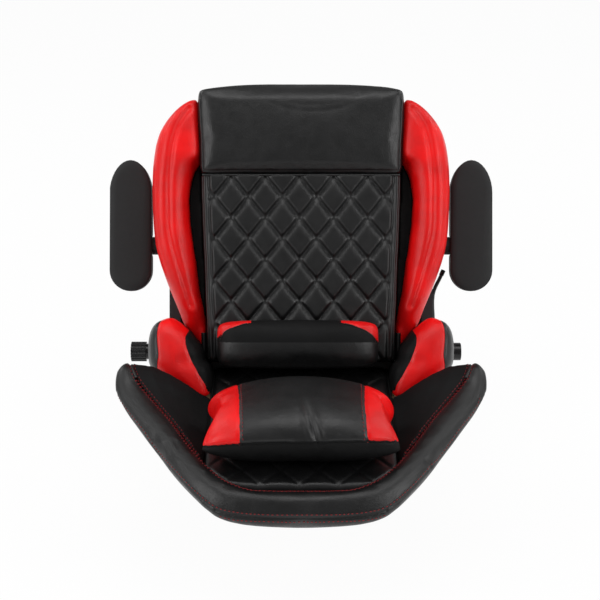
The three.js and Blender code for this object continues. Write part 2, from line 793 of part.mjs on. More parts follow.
function bumper(side) {
  const path = runnerPath();
  const sleeve = bar(path[arcSteps - bumperSteps], path[arcSteps], runnerTubeRadius + bumperThickness, roundSides);
  return cut(sleeve.translate(side * runnerHalfTrack, 0, 0), runnerAt(side, runnerTubeRadius + gap));
}
pair(floorGroup, "rear_bumper", bumper, rubberBlack());

function crossTube(y) {
  const height = runnerPath().filter((p) => Math.abs(p.y - y) < runnerTubeRadius).map((p) => p.z);
  const z = Math.max(...height);
  const reach = runnerHalfTrack;
  const tube = bar(new THREE.Vector3(-reach, y, z), new THREE.Vector3(reach, y, z), crossTubeRadius, 16);
  return largest(cut(tube, runnerAt(-1, runnerTubeRadius + gap), runnerAt(1, runnerTubeRadius + gap)));
}

piece(floorGroup, "cross_tube_front", crossTube(crossTubeFrontPlace), blackSteel());
piece(floorGroup, "cross_tube_rear", crossTube(crossTubeRearPlace), blackSteel());

// Back: outlines of the cushions as shares of their half widths at shares of the back's height
const padEdgeShares = [
  [-0.02, 0],
  [0.08, 0.06],
  [0.15, 0.1],
  [0.22, 0.23],
  [0.3, 0.31],
  [0.365, 0.37],
  [0.425, 0.48],
  [0.5, 0.56],
  [0.59, 0.66],
  [0.72, 0.72],
  [0.85, 0.9],
  [0.96, 1],
  [1, 1],
];
const padEdgeAt = (up) =>
  mix(padHalfWidthBottom, padHalfWidthTop, valueAt(padEdgeShares, up / backHeight));

const onBackFoot = (point) => new THREE.Vector3(point.x, -cushionBase, point.z);

// The quilted middle: rows and columns follow the seams of the diamonds
function quiltedPad() {
  const top = padSeamHeight - gap;
  const columnStep = quiltPitch / 4;
  const rowStep = quiltRise / 4;
  const inside = Math.floor((padHalfWidthBottom - padEdgeRound) / columnStep);
  const innerRows = Math.floor((top - padBottom - padEdgeRound) / rowStep);
  const columns = 2 * inside + 4;
  const rows = innerRows + 3;
  const at = (i, j) => {
    let up = top - (j - 1) * rowStep;
    if (j === 0) up = top;
    if (j === 1) up = top - padEdgeRound / 4;
    if (j > rows - 2) up = padBottom + ((rows - j) * padEdgeRound) / 2;
    const edge = padEdgeAt(up);
    const k = i - inside - 2;
    const column = i < 2 ? -1 : i > columns - 2 ? 1 : 0;
    const fromEdge = ((column < 0 ? i : columns - i) * padEdgeRound) / 2;
    const across = column === 0 ? k * columnStep : column * (edge - fromEdge);
    const a = (k + (j - 1)) / 4;
    const b = (k - (j - 1)) / 4;
    const quilted = column === 0 && j > 0 && j < rows - 1;
    const tuft = quilted ? tuftRise * Math.sqrt(Math.abs(Math.sin(Math.PI * a) * Math.sin(Math.PI * b))) : 0;
    const border = Math.min(i, columns - i, rows - j);
    const seamDrop = j === 0 ? padEdgeDrop / 2 : 0;
    const edgeDrop = border === 0 ? padEdgeDrop : border === 1 ? padEdgeDrop / 3 : seamDrop;
    return onBack(across, up, quiltFace + tuft - edgeDrop);
  };
  const leans = (i, j) => (i - inside - 2 + (j - 1) + 1) % 4 !== 0;
  return cushion(columns, rows, at, onBackFoot, leans);
}

// The plain head part, crowned and rolled over at the top
function headPad() {
  const columns = 20;
  const rows = 16;
  const bottom = padSeamHeight + gap;
  const crowding = 1.6; // the grid is finer near the edges
  const columnShares = (i) => {
    const t = (2 * i) / columns - 1;
    return Math.sign(t) * (1 - (1 - Math.abs(t)) ** crowding);
  };
  const at = (i, j) => {
    const t = (2 * j) / rows - 1;
    const share = (1 + Math.sign(t) * (1 - (1 - Math.abs(t)) ** crowding)) / 2;
    const x = columnShares(i);
    const cornerRound = padEdgeRound * Math.abs(x) ** 3;
    const up = mix(bottom, backHeight - cornerRound, share);
    const across = x * padEdgeAt(up);
    const sideEnd = Math.min(1, ((1 - Math.abs(x)) * padHalfWidthTop) / padEdgeRound);
    const lowEnd = Math.min(1, (up - bottom) / padEdgeRound);
    const topEnd = Math.min(1, (backHeight - up) / (2 * padEdgeRound));
    const round = (end) => Math.sqrt(1 - (1 - end) ** 2);
    const face = headFace + headCrown * (1 - x * x) * Math.sin(Math.PI * Math.min(share + 1 / 10, 1));
    const drop = 1 - round(sideEnd) + (1 - round(lowEnd)) + 2 * (1 - round(topEnd));
    return onBack(across, up, face - padEdgeDrop * drop);
  };
  return cushion(columns, rows, at, onBackFoot, () => false);
}

piece(backGroup, "quilted_pad", quiltedPad(), blackLeather());
piece(backGroup, "head_pad", headPad(), blackLeather());

// Wings: [share of the back's height, share of the wing's half width], and the crest's share of its full face
const wingOuterShares = [
  [0.035, 0.775],
  [0.09, 0.78],
  [0.148, 0.797],
  [0.217, 0.843],
  [0.283, 0.898],
  [0.348, 0.945],
  [0.41, 0.979],
  [0.508, 0.999],
  [0.566, 1.001],
  [0.636, 1.005],
  [0.68, 1.003],
  [0.739, 0.997],
  [0.785, 0.984],
  [0.83, 0.96],
  [0.869, 0.918],
  [0.907, 0.86],
  [0.93, 0.811],
  [0.946, 0.762],
  [0.953, 0.712],
];
const wingInnerShares = [
  [0.035, 0.65],
  [0.057, 0.65],
  [0.112, 0.6535],
  [0.163, 0.659],
  [0.192, 0.667],
  [0.221, 0.686],
  [0.257, 0.7],
  [0.294, 0.708],
  [0.359, 0.722],
  [0.403, 0.7385],
  [0.439, 0.7455],
  [0.494, 0.7604],
  [0.585, 0.766],
  [0.621, 0.7585],
  [0.657, 0.7447],
  [0.6865, 0.7244],
  [0.707, 0.704],
  [0.7193, 0.6833],
];
const wingFaceShares = [
  [0.06, 0.3],
  [0.14, 0.55],
  [0.22, 0.85],
  [0.35, 0.97],
  [0.6, 1],
  [0.8, 0.97],
  [0.9, 0.88],
  [0.957, 0.62],
];
// The wing's section: [share of the way inwards, share of the face]
const wingSectionShares = [
  [0, 0.12],
  [0, 0.45],
  [0.07, 0.75],
  [0.22, 0.95],
  [0.42, 1],
  [0.64, 0.95],
];
const wingFootShare = 0.06;
// The heights of the sections between two heights: the rows of the wings' edges
function wingHeights(low, high) {
  const above = wingOuterShares.filter(([share]) => share * backHeight > insertTop + softGap);
  const heights = [...wingInnerShares, ...above].map(([share]) => share * backHeight);
  return [low, ...heights.filter((up) => up > low + softGap && up < high - softGap), high];
}
const wingFallShares = [0.84, 0.45]; // where it falls to the seam beside the pad, and how far it has fallen
const wingSeamShare = 0.8; // of the face, at that seam
const wingOuterAt = (up) => wingHalfWidth * valueAt(wingOuterShares, up / backHeight);
function wingInnerAt(up) {
  const beside = padEdgeAt(up) + 2 * gap;
  return up > insertTop ? beside : Math.max(beside, wingHalfWidth * valueAt(wingInnerShares, up / backHeight));
}
const wingFaceAt = (up) => wingFace * valueAt(wingFaceShares, up / backHeight);

function wing(side) {
  const rings = [];
  for (const up of wingHeights(wingBottom, wingTop)) {
    const outer = Math.max(wingOuterAt(up), wingInnerAt(up) + 8 * gap);
    const inner = wingInnerAt(up);
    const face = wingFaceAt(up);
    const seamFace = up > insertTop ? face * wingSeamShare : insertFace;
    const [fallPlace, fall] = wingFallShares;
    const place = (share, forward) => onBack(side * mix(outer, inner, share), up, forward);
    rings.push([
      place(wingFootShare, cushionBase),
      ...wingSectionShares.map(([share, height]) => place(share, face * height)),
      place(fallPlace, mix(face, seamFace, fall)),
      place(1, seamFace),
      place(1, cushionBase),
    ]);
  }
  return skin(rings);
}

// Smooth black insert between a wing and the middle pad
function backInsert(side) {
  const rings = [];
  for (const up of wingHeights(padBottom, insertTop - 2 * softGap)) {
    const inner = padEdgeAt(up) + 2 * gap;
    const wingSide = up < wingBottom ? wingInnerAt(wingBottom) : wingInnerAt(up);
    const outer = Math.max(wingSide - softGap, inner + softGap);
    const place = (share, forward) => onBack(side * mix(inner, outer, share), up, forward);
    rings.push([
      place(0, cushionBase),
      place(0, insertFace),
      place(1 / 3, insertFace - tuftRise / 2),
      place(2 / 3, insertFace - tuftRise / 2),
      place(1, insertFace - tuftRise / 4),
      place(1, cushionBase),
    ]);
  }
  return skin(rings);
}

// Hip bolsters at the foot of the back: [share of the hips' top, share of the half width]
const hipOuterShares = [
  [-0.76, 0.72],
  [-0.55, 0.82],
  [-0.3, 0.93],
  [-0.06, 0.99],
  [0.107, 0.997],
  [0.27, 1],
  [0.47, 0.998],
  [0.6, 0.992],
  [0.743, 0.98],
  [0.854, 0.96],
  [0.94, 0.925],
  [1, 0.868],
];
const hipInnerShares = [
  [-0.76, 0.578],
  [-0.3, 0.582],
  [-0.06, 0.6],
  [-0.03, 0.64],
  [0.22, 0.645],
  [0.29, 0.655],
  [0.47, 0.702],
  [0.69, 0.747],
  [0.8, 0.783],
  [0.89, 0.803],
  [1, 0.845],
];
const hipFaceShares = [
  [-0.76, 0.94],
  [-0.3, 1],
  [0.2, 1],
  [0.6, 0.95],
  [0.85, 0.86],
  [1, 0.72],
];

// The hips' section: [share of the way outwards, share of the face]
const hipSectionShares = [
  [0, 0.72],
  [0.06, 0.9],
  [0.22, 1],
  [0.5, 1.03],
  [0.78, 1],
  [0.92, 0.88],
  [1, 0.66],
];
const hipWallShare = 0.9; // the deep part is at most this wide where the hips are narrow

function hipBody(side, grow) {
  const stations = 16;
  const rings = [];
  for (let s = 0; s <= stations; s += 1) {
    const up = mix(hipBottom, hipTop, s / stations);
    const outer = hipHalfWidth * valueAt(hipOuterShares, up / hipTop) + grow;
    const inner = hipHalfWidth * valueAt(hipInnerShares, up / hipTop) - grow;
    const face = hipFace * valueAt(hipFaceShares, up / hipTop) + grow;
    const edge = Math.max(outer, inner + 4 * gap);
    const widest = Math.min(hipPocketInner + grow, mix(inner, edge, hipWallShare));
    const pocket = Math.max(inner + 4 * gap, widest);
    const height = up + (s === stations ? grow : 0);
    const place = (share, forward) => onBack(side * mix(inner, edge, share), height, forward);
    rings.push([
      place(0, cushionBase - grow),
      ...hipSectionShares.map(([share, rise]) => place(share, face * rise)),
      place(1, hipPocketFace),
      onBack(side * pocket, height, hipPocketFace),
      onBack(side * pocket, height, cushionBase - grow),
    ]);
  }
  return skin(rings);
}

// Everything below the seat's surface, as a tool that trims what hangs on the back
function seatSpace() {
  const reach = 2 * seatDepth;
  const block = boxBetween(
    new THREE.Vector3(-reach, -reach, -reach),
    new THREE.Vector3(reach, reach, -hipClearOfSeat),
  );
  return block.rotateX(THREE.MathUtils.degToRad(openingDegrees));
}

pair(backGroup, "wing", (side) => cut(wing(side), hipBody(side, 2 * gap)), redLeather());
pair(backGroup, "insert", (side) => largest(cut(backInsert(side), hipBody(side, 2 * gap))), blackLeather());
pair(backGroup, "hip_bolster", (side) => cut(hipBody(side, 0), seatSpace()), redLeather());

// Back board and rear cover: [share of the cover's top, share of its half width]
const coverShares = [
  [0.068, 0.875],
  [0.1, 0.914],
  [0.3, 0.914],
  [0.34, 0.93],
  [0.4, 0.975],
  [0.5, 0.998],
  [0.68, 1],
  [0.8, 0.965],
  [0.88, 0.88],
  [0.94, 0.74],
  [0.98, 0.6],
  [1, 0.5],
];
// The cover's flank: [share of the rounding's radius inwards, share of the depth]
const coverFlankShares = [
  [0, 0.62],
  [0.35, 0.88],
  [1, 1],
];
const coverInsideRoundShare = 0.8;
const coverEdge = (up) => rearCoverHalfWidth * Math.min(1, valueAt(coverShares, up / rearCoverTop));

// The widest place of the cover's flank between two heights
const coverFlank = (low, high) =>
  Math.max(...Array.from({ length: arcSteps + 1 }, (_, k) => coverEdge(mix(low, high, k / arcSteps))));

function coverBody(inset, front, rear, round) {
  const stations = 26;
  const rings = [];
  for (let s = 0; s <= stations; s += 1) {
    const up = mix(rearCoverBottom + inset, rearCoverTop - inset, s / stations);
    const edge = coverEdge(mix(rearCoverBottom, rearCoverTop, s / stations)) - inset;
    const toEnd = Math.min(up - rearCoverBottom - inset, rearCoverTop - inset - up) / round;
    const endRound = round * (1 - Math.sqrt(1 - (1 - Math.min(1, toEnd)) ** 2));
    const back = rear + endRound;
    const flankPoint = (side, [inwards, depth]) =>
      onBack(side * (edge - round * inwards), up, mix(front, back, depth));
    const flank = (side) => coverFlankShares.map((shares) => flankPoint(side, shares));
    rings.push([onBack(-edge, up, front), onBack(edge, up, front), ...flank(1), ...flank(-1).reverse()]);
  }
  return skin(rings);
}
const boardFront = cushionBase - gap;
const boardRear = boardFront - backBoardThickness;
const coverFront = boardRear - gap;
const coverRear = coverFront - rearCoverDepth;
const coverRound = rearCoverDepth / 2;

function rearCover() {
  const outside = coverBody(0, coverFront, coverRear, coverRound);
  const insideRound = coverRound * coverInsideRoundShare;
  const inside = coverBody(rearCoverWall, coverFront + rearCoverWall, coverRear + rearCoverWall, insideRound);
  return cut(outside, inside);
}

function backBoard() {
  const shape = new THREE.Shape();
  const stations = 24;
  const edges = Array.from({ length: stations + 1 }, (_, s) => {
    const up = mix(rearCoverBottom, rearCoverTop, s / stations);
    return [coverEdge(up) - rearCoverWall / 2, up];
  });
  edges.forEach(([across, up], s) => (s === 0 ? shape.moveTo(across, up) : shape.lineTo(across, up)));
  [...edges].reverse().forEach(([across, up]) => shape.lineTo(-across, up));
  shape.closePath();
  const board = new THREE.ExtrudeGeometry(shape, { depth: backBoardThickness, bevelEnabled: false });
  return board.rotateX(Math.PI / 2).translate(0, -boardRear, 0);
}
piece(backGroup, "rear_cover", rearCover(), blackLeather());
piece(backGroup, "back_board", backBoard(), mattBlackLeather());

// Steel hoop inside the rear cover, with its lower bar
function hoopPath() {
  const points = [];
  const middle = coverFront - hoopTubeRadius;
  const corner = (x, z, from, to) => {
    for (let k = 0; k <= bendSteps; k += 1) {
      const angle = mix(from, to, k / bendSteps);
      points.push(new THREE.Vector3(x + hoopBend * cos(angle), -middle, z + hoopBend * sin(angle)));
    }
  };
  const [x, low, high] = [hoopHalfWidth - hoopBend, hoopBottom + hoopBend, hoopTop - hoopBend];
  corner(x, high, 0, 90);
  corner(-x, high, 90, 180);
  corner(-x, low, 180, 270);
  corner(x, low, 270, 360);
  return points;
}
piece(
  backGroup,
  "back_hoop",
  bentTube(hoopPath(), new THREE.Vector3(0, 1, 0), hoopTubeRadius, true),
  blackSteel(),
);

// Recline hinge: disc between the plate and the arm, on the release shaft
const discInner = plateOuter + gap;
const discOuter = discInner + discThickness;
const armInner = discOuter + gap;
const armOuter = armInner + armThickness;
const onAxis = (side, across) => onBack(side * across, hingeUp, hingeForward);
const axisBar = (side, from, to, radius) => bar(onAxis(side, from), onAxis(side, to), radius, roundSides);
const knobOuter = knobInner + knobLength;
const shaftHole = (side) => axisBar(side, railInner, knobOuter, shaftRadius + shaftClearance);

pair(
  backGroup,
  "recliner_disc",
  (side) => cut(axisBar(side, discInner, discOuter, discRadius), shaftHole(side)),
  zincSteel(),
);

// Hinge arm: a foot round the disc and a boxed upper part against the rear cover
function hingeArm(side) {
  const foot = axisBar(side, armInner, armOuter, armFootRadius);
  const boxInner = coverFlank(armBoxBottom, armTop) + gap;
  const block = (inner, low, high) => {
    const a = onBack(side * inner, low, armRearFace);
    const b = onBack(side * armOuter, high, armFrontFace);
    return boxBetween(a.clone().min(b), a.clone().max(b));
  };
  const link = block(armInner, hingeUp, armBoxBottom + armThickness);
  const boxed = block(boxInner, armBoxBottom, armTop);
  return cut(join(foot, link, boxed), shaftHole(side));
}
pair(backGroup, "hinge_arm", hingeArm, blackSteel());

// Release shaft through both hinges, with the ridged knob, the cap and the lever that turn it
const leverHubInner = armOuter + gap;
const leverHubOuter = leverHubInner + leverHubWidth;
const shaftEnd = knobInner - knobRidgeDepth;
piece(
  backGroup,
  "release_shaft",
  bar(onAxis(-1, shaftEnd), onAxis(1, shaftEnd), shaftRadius, roundSides),
  zincSteel(),
);

function ridgedKnob() {
  const shape = new THREE.Shape();
  const steps = knobRidgeCount * 4;
  for (let k = 0; k < steps; k += 1) {
    const angle = (2 * Math.PI * k) / steps;
    const radius = knobRadius - knobRidgeDepth * (k % 4 < 2 ? 0 : 1);
    const point = [radius * Math.cos(angle), radius * Math.sin(angle)];
    if (k === 0) shape.moveTo(...point);
    else shape.lineTo(...point);
  }
  shape.closePath();
  const grip = new THREE.ExtrudeGeometry(shape, { depth: knobLength, bevelEnabled: false });
  const axis = onAxis(-1, knobOuter);
  grip.rotateY(Math.PI / 2).translate(axis.x, axis.y, axis.z);
  const hub = axisBar(-1, armOuter + gap, knobInner + knobRidgeDepth, knobHubRadius);
  const bore = axisBar(-1, armOuter - gap, shaftEnd + gap, shaftRadius + shaftClearance);
  return cut(join(grip, hub), bore);
}
piece(backGroup, "release_knob", ridgedKnob(), glossBlack());

const boreOf = (from, to) => axisBar(1, from, to, shaftRadius + shaftClearance);
piece(
  backGroup,
  "release_cap",
  cut(axisBar(1, leverHubOuter + gap, capOuter, capRadius), boreOf(leverHubOuter, shaftEnd + gap)),
  glossBlack(),
);

// Lever: a hub on the shaft and a rod that runs up beside the back and flares out at its end
const leverAcross = (leverHubInner + leverHubOuter) / 2;
const leverPoint = (across, up, back = leverSetBack) => onBack(across, hingeUp + up, hingeForward - back);
function leverRod() {
  const hub = axisBar(1, leverHubInner, leverHubOuter, leverHubRadius);
  const bend = leverPoint(leverAcross, leverStraight);
  const end = leverPoint(leverAcross + leverFlare, leverReach);
  const foot = leverPoint(leverAcross, leverHubRadius / 2, 0);
  const curve = new THREE.CatmullRomCurve3([foot, leverPoint(leverAcross, leverStraight / 2), bend, end]);
  const rod = bentTube(curve.getPoints(14), new THREE.Vector3(0, 1, 0), leverRodRadius);
  return cut(join(hub, rod), boreOf(armOuter, knobOuter));
}
function leverGrip() {
  const rise = leverReach - leverStraight;
  const along = new THREE.Vector3(leverFlare, 0, rise).normalize();
  const start = leverPoint(leverAcross + leverFlare, leverReach).addScaledVector(along, gap);
  return bar(start, start.clone().addScaledVector(along, leverGripLength), leverGripRadius, 16);
}
piece(backGroup, "lever_rod", leverRod(), blackSteel());
piece(backGroup, "lever_grip", leverGrip(), glossBlack());

// Armrests, drawn raised: the hard shell faces forward and the soft pad faces back
function armrestOutline(inset) {
  const shape = new THREE.Shape();
  const half = armrestHalfWidth - inset;
  const low = armrestBottom + armrestHalfWidth;
  const high = armrestTop - armrestTipLength;
  const tip = armrestTop - inset;
  const pullShare = 0.55;
  const pull = half * pullShare;
  const shoulder = (high + tip) / 2;
  shape.moveTo(-half, low);
  shape.bezierCurveTo(-half, low - pull, -pull, low - half, 0, low - half);
  shape.bezierCurveTo(pull, low - half, half, low - pull, half, low);
  shape.lineTo(half, high);
  shape.bezierCurveTo(half, shoulder, pull, tip, 0, tip);
  shape.bezierCurveTo(-pull, tip, -half, shoulder, -half, high);
  return shape.getPoints(9).slice(0, -1);
}

// Layers of the outline stacked along the forward direction, from [inset, forward] pairs
function layered(side, layers) {
  const rings = layers.map(([inset, forward]) =>
    armrestOutline(inset).map((p) => onBack(side * armrestMiddle + p.x, p.y, forward)),
  );
  return skin(rings);
}
const shellRear = armrestFrontFace - armrestShellThickness;
const onPivot = (side, across) => onBack(side * across, pivotUp, pivotForward);
const pivotBar = (side, from, to, radius) => bar(onPivot(side, from), onPivot(side, to), radius, roundSides);
const pivotHole = (side) => pivotBar(side, railOuter, armrestMiddle, pivotBoltRadius + shaftClearance);

function armrestShell(side) {
  const face = layered(side, [
    [armrestShellThickness, armrestFrontFace + armrestDome],
    [armrestShellThickness / 3, armrestFrontFace + armrestDome / 2],
    [0, armrestFrontFace - armrestDome],
    [0, shellRear],
  ]);
  const boss = pivotBar(side, pivotBossInner, pivotBossOuter, pivotBossRadius);
  return cut(join(face, boss), pivotHole(side));
}
const padSideShares = [0.55, 0.85]; // of the pad's thickness, where its side ends and its edge starts to round
function armrestPad(side) {
  const start = shellRear - gap;
  const rear = start - armrestPadThickness;
  const body = layered(side, [
    [armrestPadInset, start],
    [0, start - armrestPadInset],
    [0, mix(start, rear, padSideShares[0])],
    [armrestPadInset, mix(start, rear, padSideShares[1])],
    [3 * armrestPadInset, rear],
  ]);
  const bossSpace = pivotBar(side, pivotBossInner - armrestDome, pivotBossOuter + gap, pivotBossRadius + gap);
  return cut(body, bossSpace);
}
pair(backGroup, "armrest_shell", armrestShell, armrestGrey());
pair(backGroup, "armrest_pad", armrestPad, armrestGrey());

// Bracket on the rear cover's flank and the bolt that the armrest turns on
const bracketBossShare = 0.8; // of the bracket's radius
const coverAtPivot = coverFlank(pivotUp - pivotBracketRadius, pivotUp + pivotBracketRadius);
function armrestBracket(side) {
  const inner = coverAtPivot + gap;
  const plate = pivotBar(side, inner, inner + pivotBracketPlate, pivotBracketRadius);
  const boss = pivotBar(side, inner, pivotBossInner - gap, pivotBracketRadius * bracketBossShare);
  return cut(join(plate, boss), pivotHole(side));
}
pair(backGroup, "armrest_bracket", armrestBracket, blackSteel());
pair(
  backGroup,
  "armrest_bolt",
  (side) => pivotBar(side, coverAtPivot + gap, pivotBossOuter, pivotBoltRadius),
  zincSteel(),
);

// Pillows: rounded sections along the length. sectionAt(share) gives each one's middle and half size,
// from -1 at the left end to 1 at the right, and place(across, depth, up) sets a point.
const pillowRoundness = 0.75; // under 1 for a section fuller than an ellipse
function pillow(halfLength, sectionAt, place, sides, stations) {
  const rings = [];
  for (let s = 0; s <= stations; s += 1) {
    const share = -cos((180 * s) / stations);
    const section = sectionAt(share);
    const fuller = (value) => Math.sign(value) * Math.abs(value) ** pillowRoundness;
    rings.push(
      Array.from({ length: sides }, (_, k) => {
        const depth = section.halfDepth * fuller(cos((360 * k) / sides));
        const up = section.halfUp * fuller(sin((360 * k) / sides));
        return place(share * halfLength, section.middleDepth + depth, section.middleUp + up);
      }),
    );
  }
  return skin(rings);
}

// How much of its full size a section keeps: all in the middle, endShare at the ends, later for a higher power
const keeps = (share, endShare, power) =>
  mix(endShare, 1, Math.sqrt(1 - Math.min(1, Math.abs(share) ** power)));

const lumbarEndShares = [0.72, 0.45]; // height and depth
function lumbarPillow() {
  const halfDepth = (lumbarFront - lumbarRear) / 2;
  const sectionAt = (share) => {
    const thin = keeps(share, lumbarEndShares[1], 5);
    return {
      middleDepth: lumbarRear + halfDepth * thin,
      halfDepth: halfDepth * thin,
      middleUp: lumbarUp,
      halfUp: lumbarHalfHeight * keeps(share, lumbarEndShares[0], 8),
    };
  };
  const place = (across, depth, up) => onBack(across + lumbarAside, up, depth);
  return pillow(lumbarHalfLength, sectionAt, place, 20, 16);
}

// The loose pillow is full in the middle and notched at its ends, like a bow tie
const looseEndShares = [0.66, 0.84]; // height and depth
const looseFlatShare = 0.35; // of the height, that is lost evenly from the middle to the ends
function loosePillow() {
  const halfDepth = (looseFront - looseRear) / 2;
  const halfUp = (looseTop - looseBottom) / 2;
  const middleDepth = (looseRear + looseFront) / 2;
  const sectionAt = (share) => {
    const square = share * share;
    const high = looseBottom + 2 * halfUp * (keeps(share, looseEndShares[0], 10) - looseFlatShare * square);
    const low = looseBottom + looseEndLift * square * square;
    const front = looseFront - looseFrontSweep * square;
    const rear = looseRear + 2 * looseSetForward * square;
    return {
      middleDepth: (front + rear) / 2,
      halfDepth: ((front - rear) / 2) * keeps(share, looseEndShares[1], 10),
      middleUp: (high + low) / 2,
      halfUp: (high - low) / 2,
    };
  };
  const place = (across, depth, up) => {
    const offMiddle = (depth - middleDepth) / halfDepth;
    const notch = looseNotch * (across / looseHalfLength) ** 5 * Math.exp(-offMiddle * offMiddle * 6);
    return onSeat(across - notch, depth, up);
  };
  return pillow(looseHalfLength, sectionAt, place, 22, 20);
}
piece(backGroup, "lumbar_pillow", lumbarPillow(), blackLeather());
piece(seatGroup, "loose_pillow", loosePillow(), blackLeather());

// The origin goes to the middle of the chair's box, on the floor
chair.updateMatrixWorld(true);
const box = new THREE.Box3().setFromObject(chair, true);
chair.position.set(-(box.min.x + box.max.x) / 2, -(box.min.y + box.max.y) / 2, -box.min.z);

const assembly = new THREE.Group();
assembly.add(chair);
export default assembly;
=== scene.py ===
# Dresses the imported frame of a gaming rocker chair: leather cushions, stitching, steelwork, camera and light.
# Metres, +Z up. The sitter faces -Y and the photographed view looks down the seat from the front.
import json
import math

import bmesh
import bpy
from mathutils import Euler, Matrix, Vector, geometry, kdtree, noise
from mathutils.bvhtree import BVHTree


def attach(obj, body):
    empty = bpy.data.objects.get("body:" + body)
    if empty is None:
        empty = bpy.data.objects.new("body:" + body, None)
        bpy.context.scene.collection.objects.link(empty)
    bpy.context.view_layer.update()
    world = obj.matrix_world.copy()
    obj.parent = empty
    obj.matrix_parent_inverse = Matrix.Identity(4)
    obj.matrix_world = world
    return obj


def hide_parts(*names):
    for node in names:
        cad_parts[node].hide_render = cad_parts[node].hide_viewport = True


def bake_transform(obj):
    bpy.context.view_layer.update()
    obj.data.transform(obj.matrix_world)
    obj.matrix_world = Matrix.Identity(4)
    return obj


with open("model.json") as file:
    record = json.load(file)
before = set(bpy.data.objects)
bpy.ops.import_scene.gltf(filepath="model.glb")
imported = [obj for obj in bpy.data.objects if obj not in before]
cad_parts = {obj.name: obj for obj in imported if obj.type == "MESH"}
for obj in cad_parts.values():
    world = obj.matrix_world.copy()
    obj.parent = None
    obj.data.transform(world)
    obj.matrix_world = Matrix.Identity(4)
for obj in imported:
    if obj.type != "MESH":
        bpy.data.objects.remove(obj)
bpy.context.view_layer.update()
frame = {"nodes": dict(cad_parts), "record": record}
scene = bpy.context.scene
cad = frame["nodes"]
sides = {"left": -1, "right": 1}
cloth_frames = 20
taut_passes = 9
edge_softening = 0.0008

# Frames of the seat and the back, as in the part's source
junction = Vector((0.0, 0.0753, 0.222))
recline = math.radians(31)
seat_tilt = math.radians(5)


def frame_at(origin, *axes):
    matrix = Matrix(axes).transposed().to_4x4()
    matrix.translation = origin
    return matrix


# Local places are (across, up, forward) on the back and (across, forward, up) on the seat
back_frame = frame_at(
    junction,
    (1, 0, 0),
    (0, math.sin(recline), math.cos(recline)),
    (0, -math.cos(recline), math.sin(recline)),
)
seat_frame = frame_at(
    junction,
    (1, 0, 0),
    (0, -math.cos(seat_tilt), math.sin(seat_tilt)),
    (0, math.sin(seat_tilt), math.cos(seat_tilt)),
)

# Camera: square to the back's plane, 72 mm lens on a 36 mm sensor
photo_size = 600
photo_middle = 301  # the column of the chair's middle
focal_pixels = 1200
camera_place = back_frame @ Vector((-0.0019, 0.1132, 2.264))
camera_turn = Euler((math.pi / 2 - recline, 0, 0))
chair_distance = 2.1
camera_data = bpy.data.cameras.new("photo_camera")
camera_data.sensor_width = 36
camera_data.lens = camera_data.sensor_width * focal_pixels / photo_size
camera = bpy.data.objects.new("photo_camera", camera_data)
camera.location = camera_place
camera.rotation_euler = camera_turn
scene.collection.objects.link(camera)
scene.camera = camera


# Seams, folds and borders are placed by where the camera sees them: columns and rows of its view, no colours
def sight(pixel):
    """The direction in which the camera sees a pixel of the photograph."""
    half = photo_size / 2
    ray = Vector((pixel[0] - half, half - pixel[1], -focal_pixels))
    return (camera_turn.to_matrix() @ ray).normalized()


def pixel_of(place):
    """The pixel of the photograph at which the camera sees a place."""
    x, y, z = camera_turn.to_matrix().transposed() @ (place - camera_place)
    return photo_size / 2 - focal_pixels * x / z, photo_size / 2 + focal_pixels * y / z


def mirrored(pixels, middle=photo_middle):
    return [(2 * middle - x, y) for x, y in pixels]


def seen_pair(pixels, side, middle=photo_middle):
    """Pixels of the left side, or their mirror image for the right side."""
    return pixels if side < 0 else mirrored(pixels, middle)


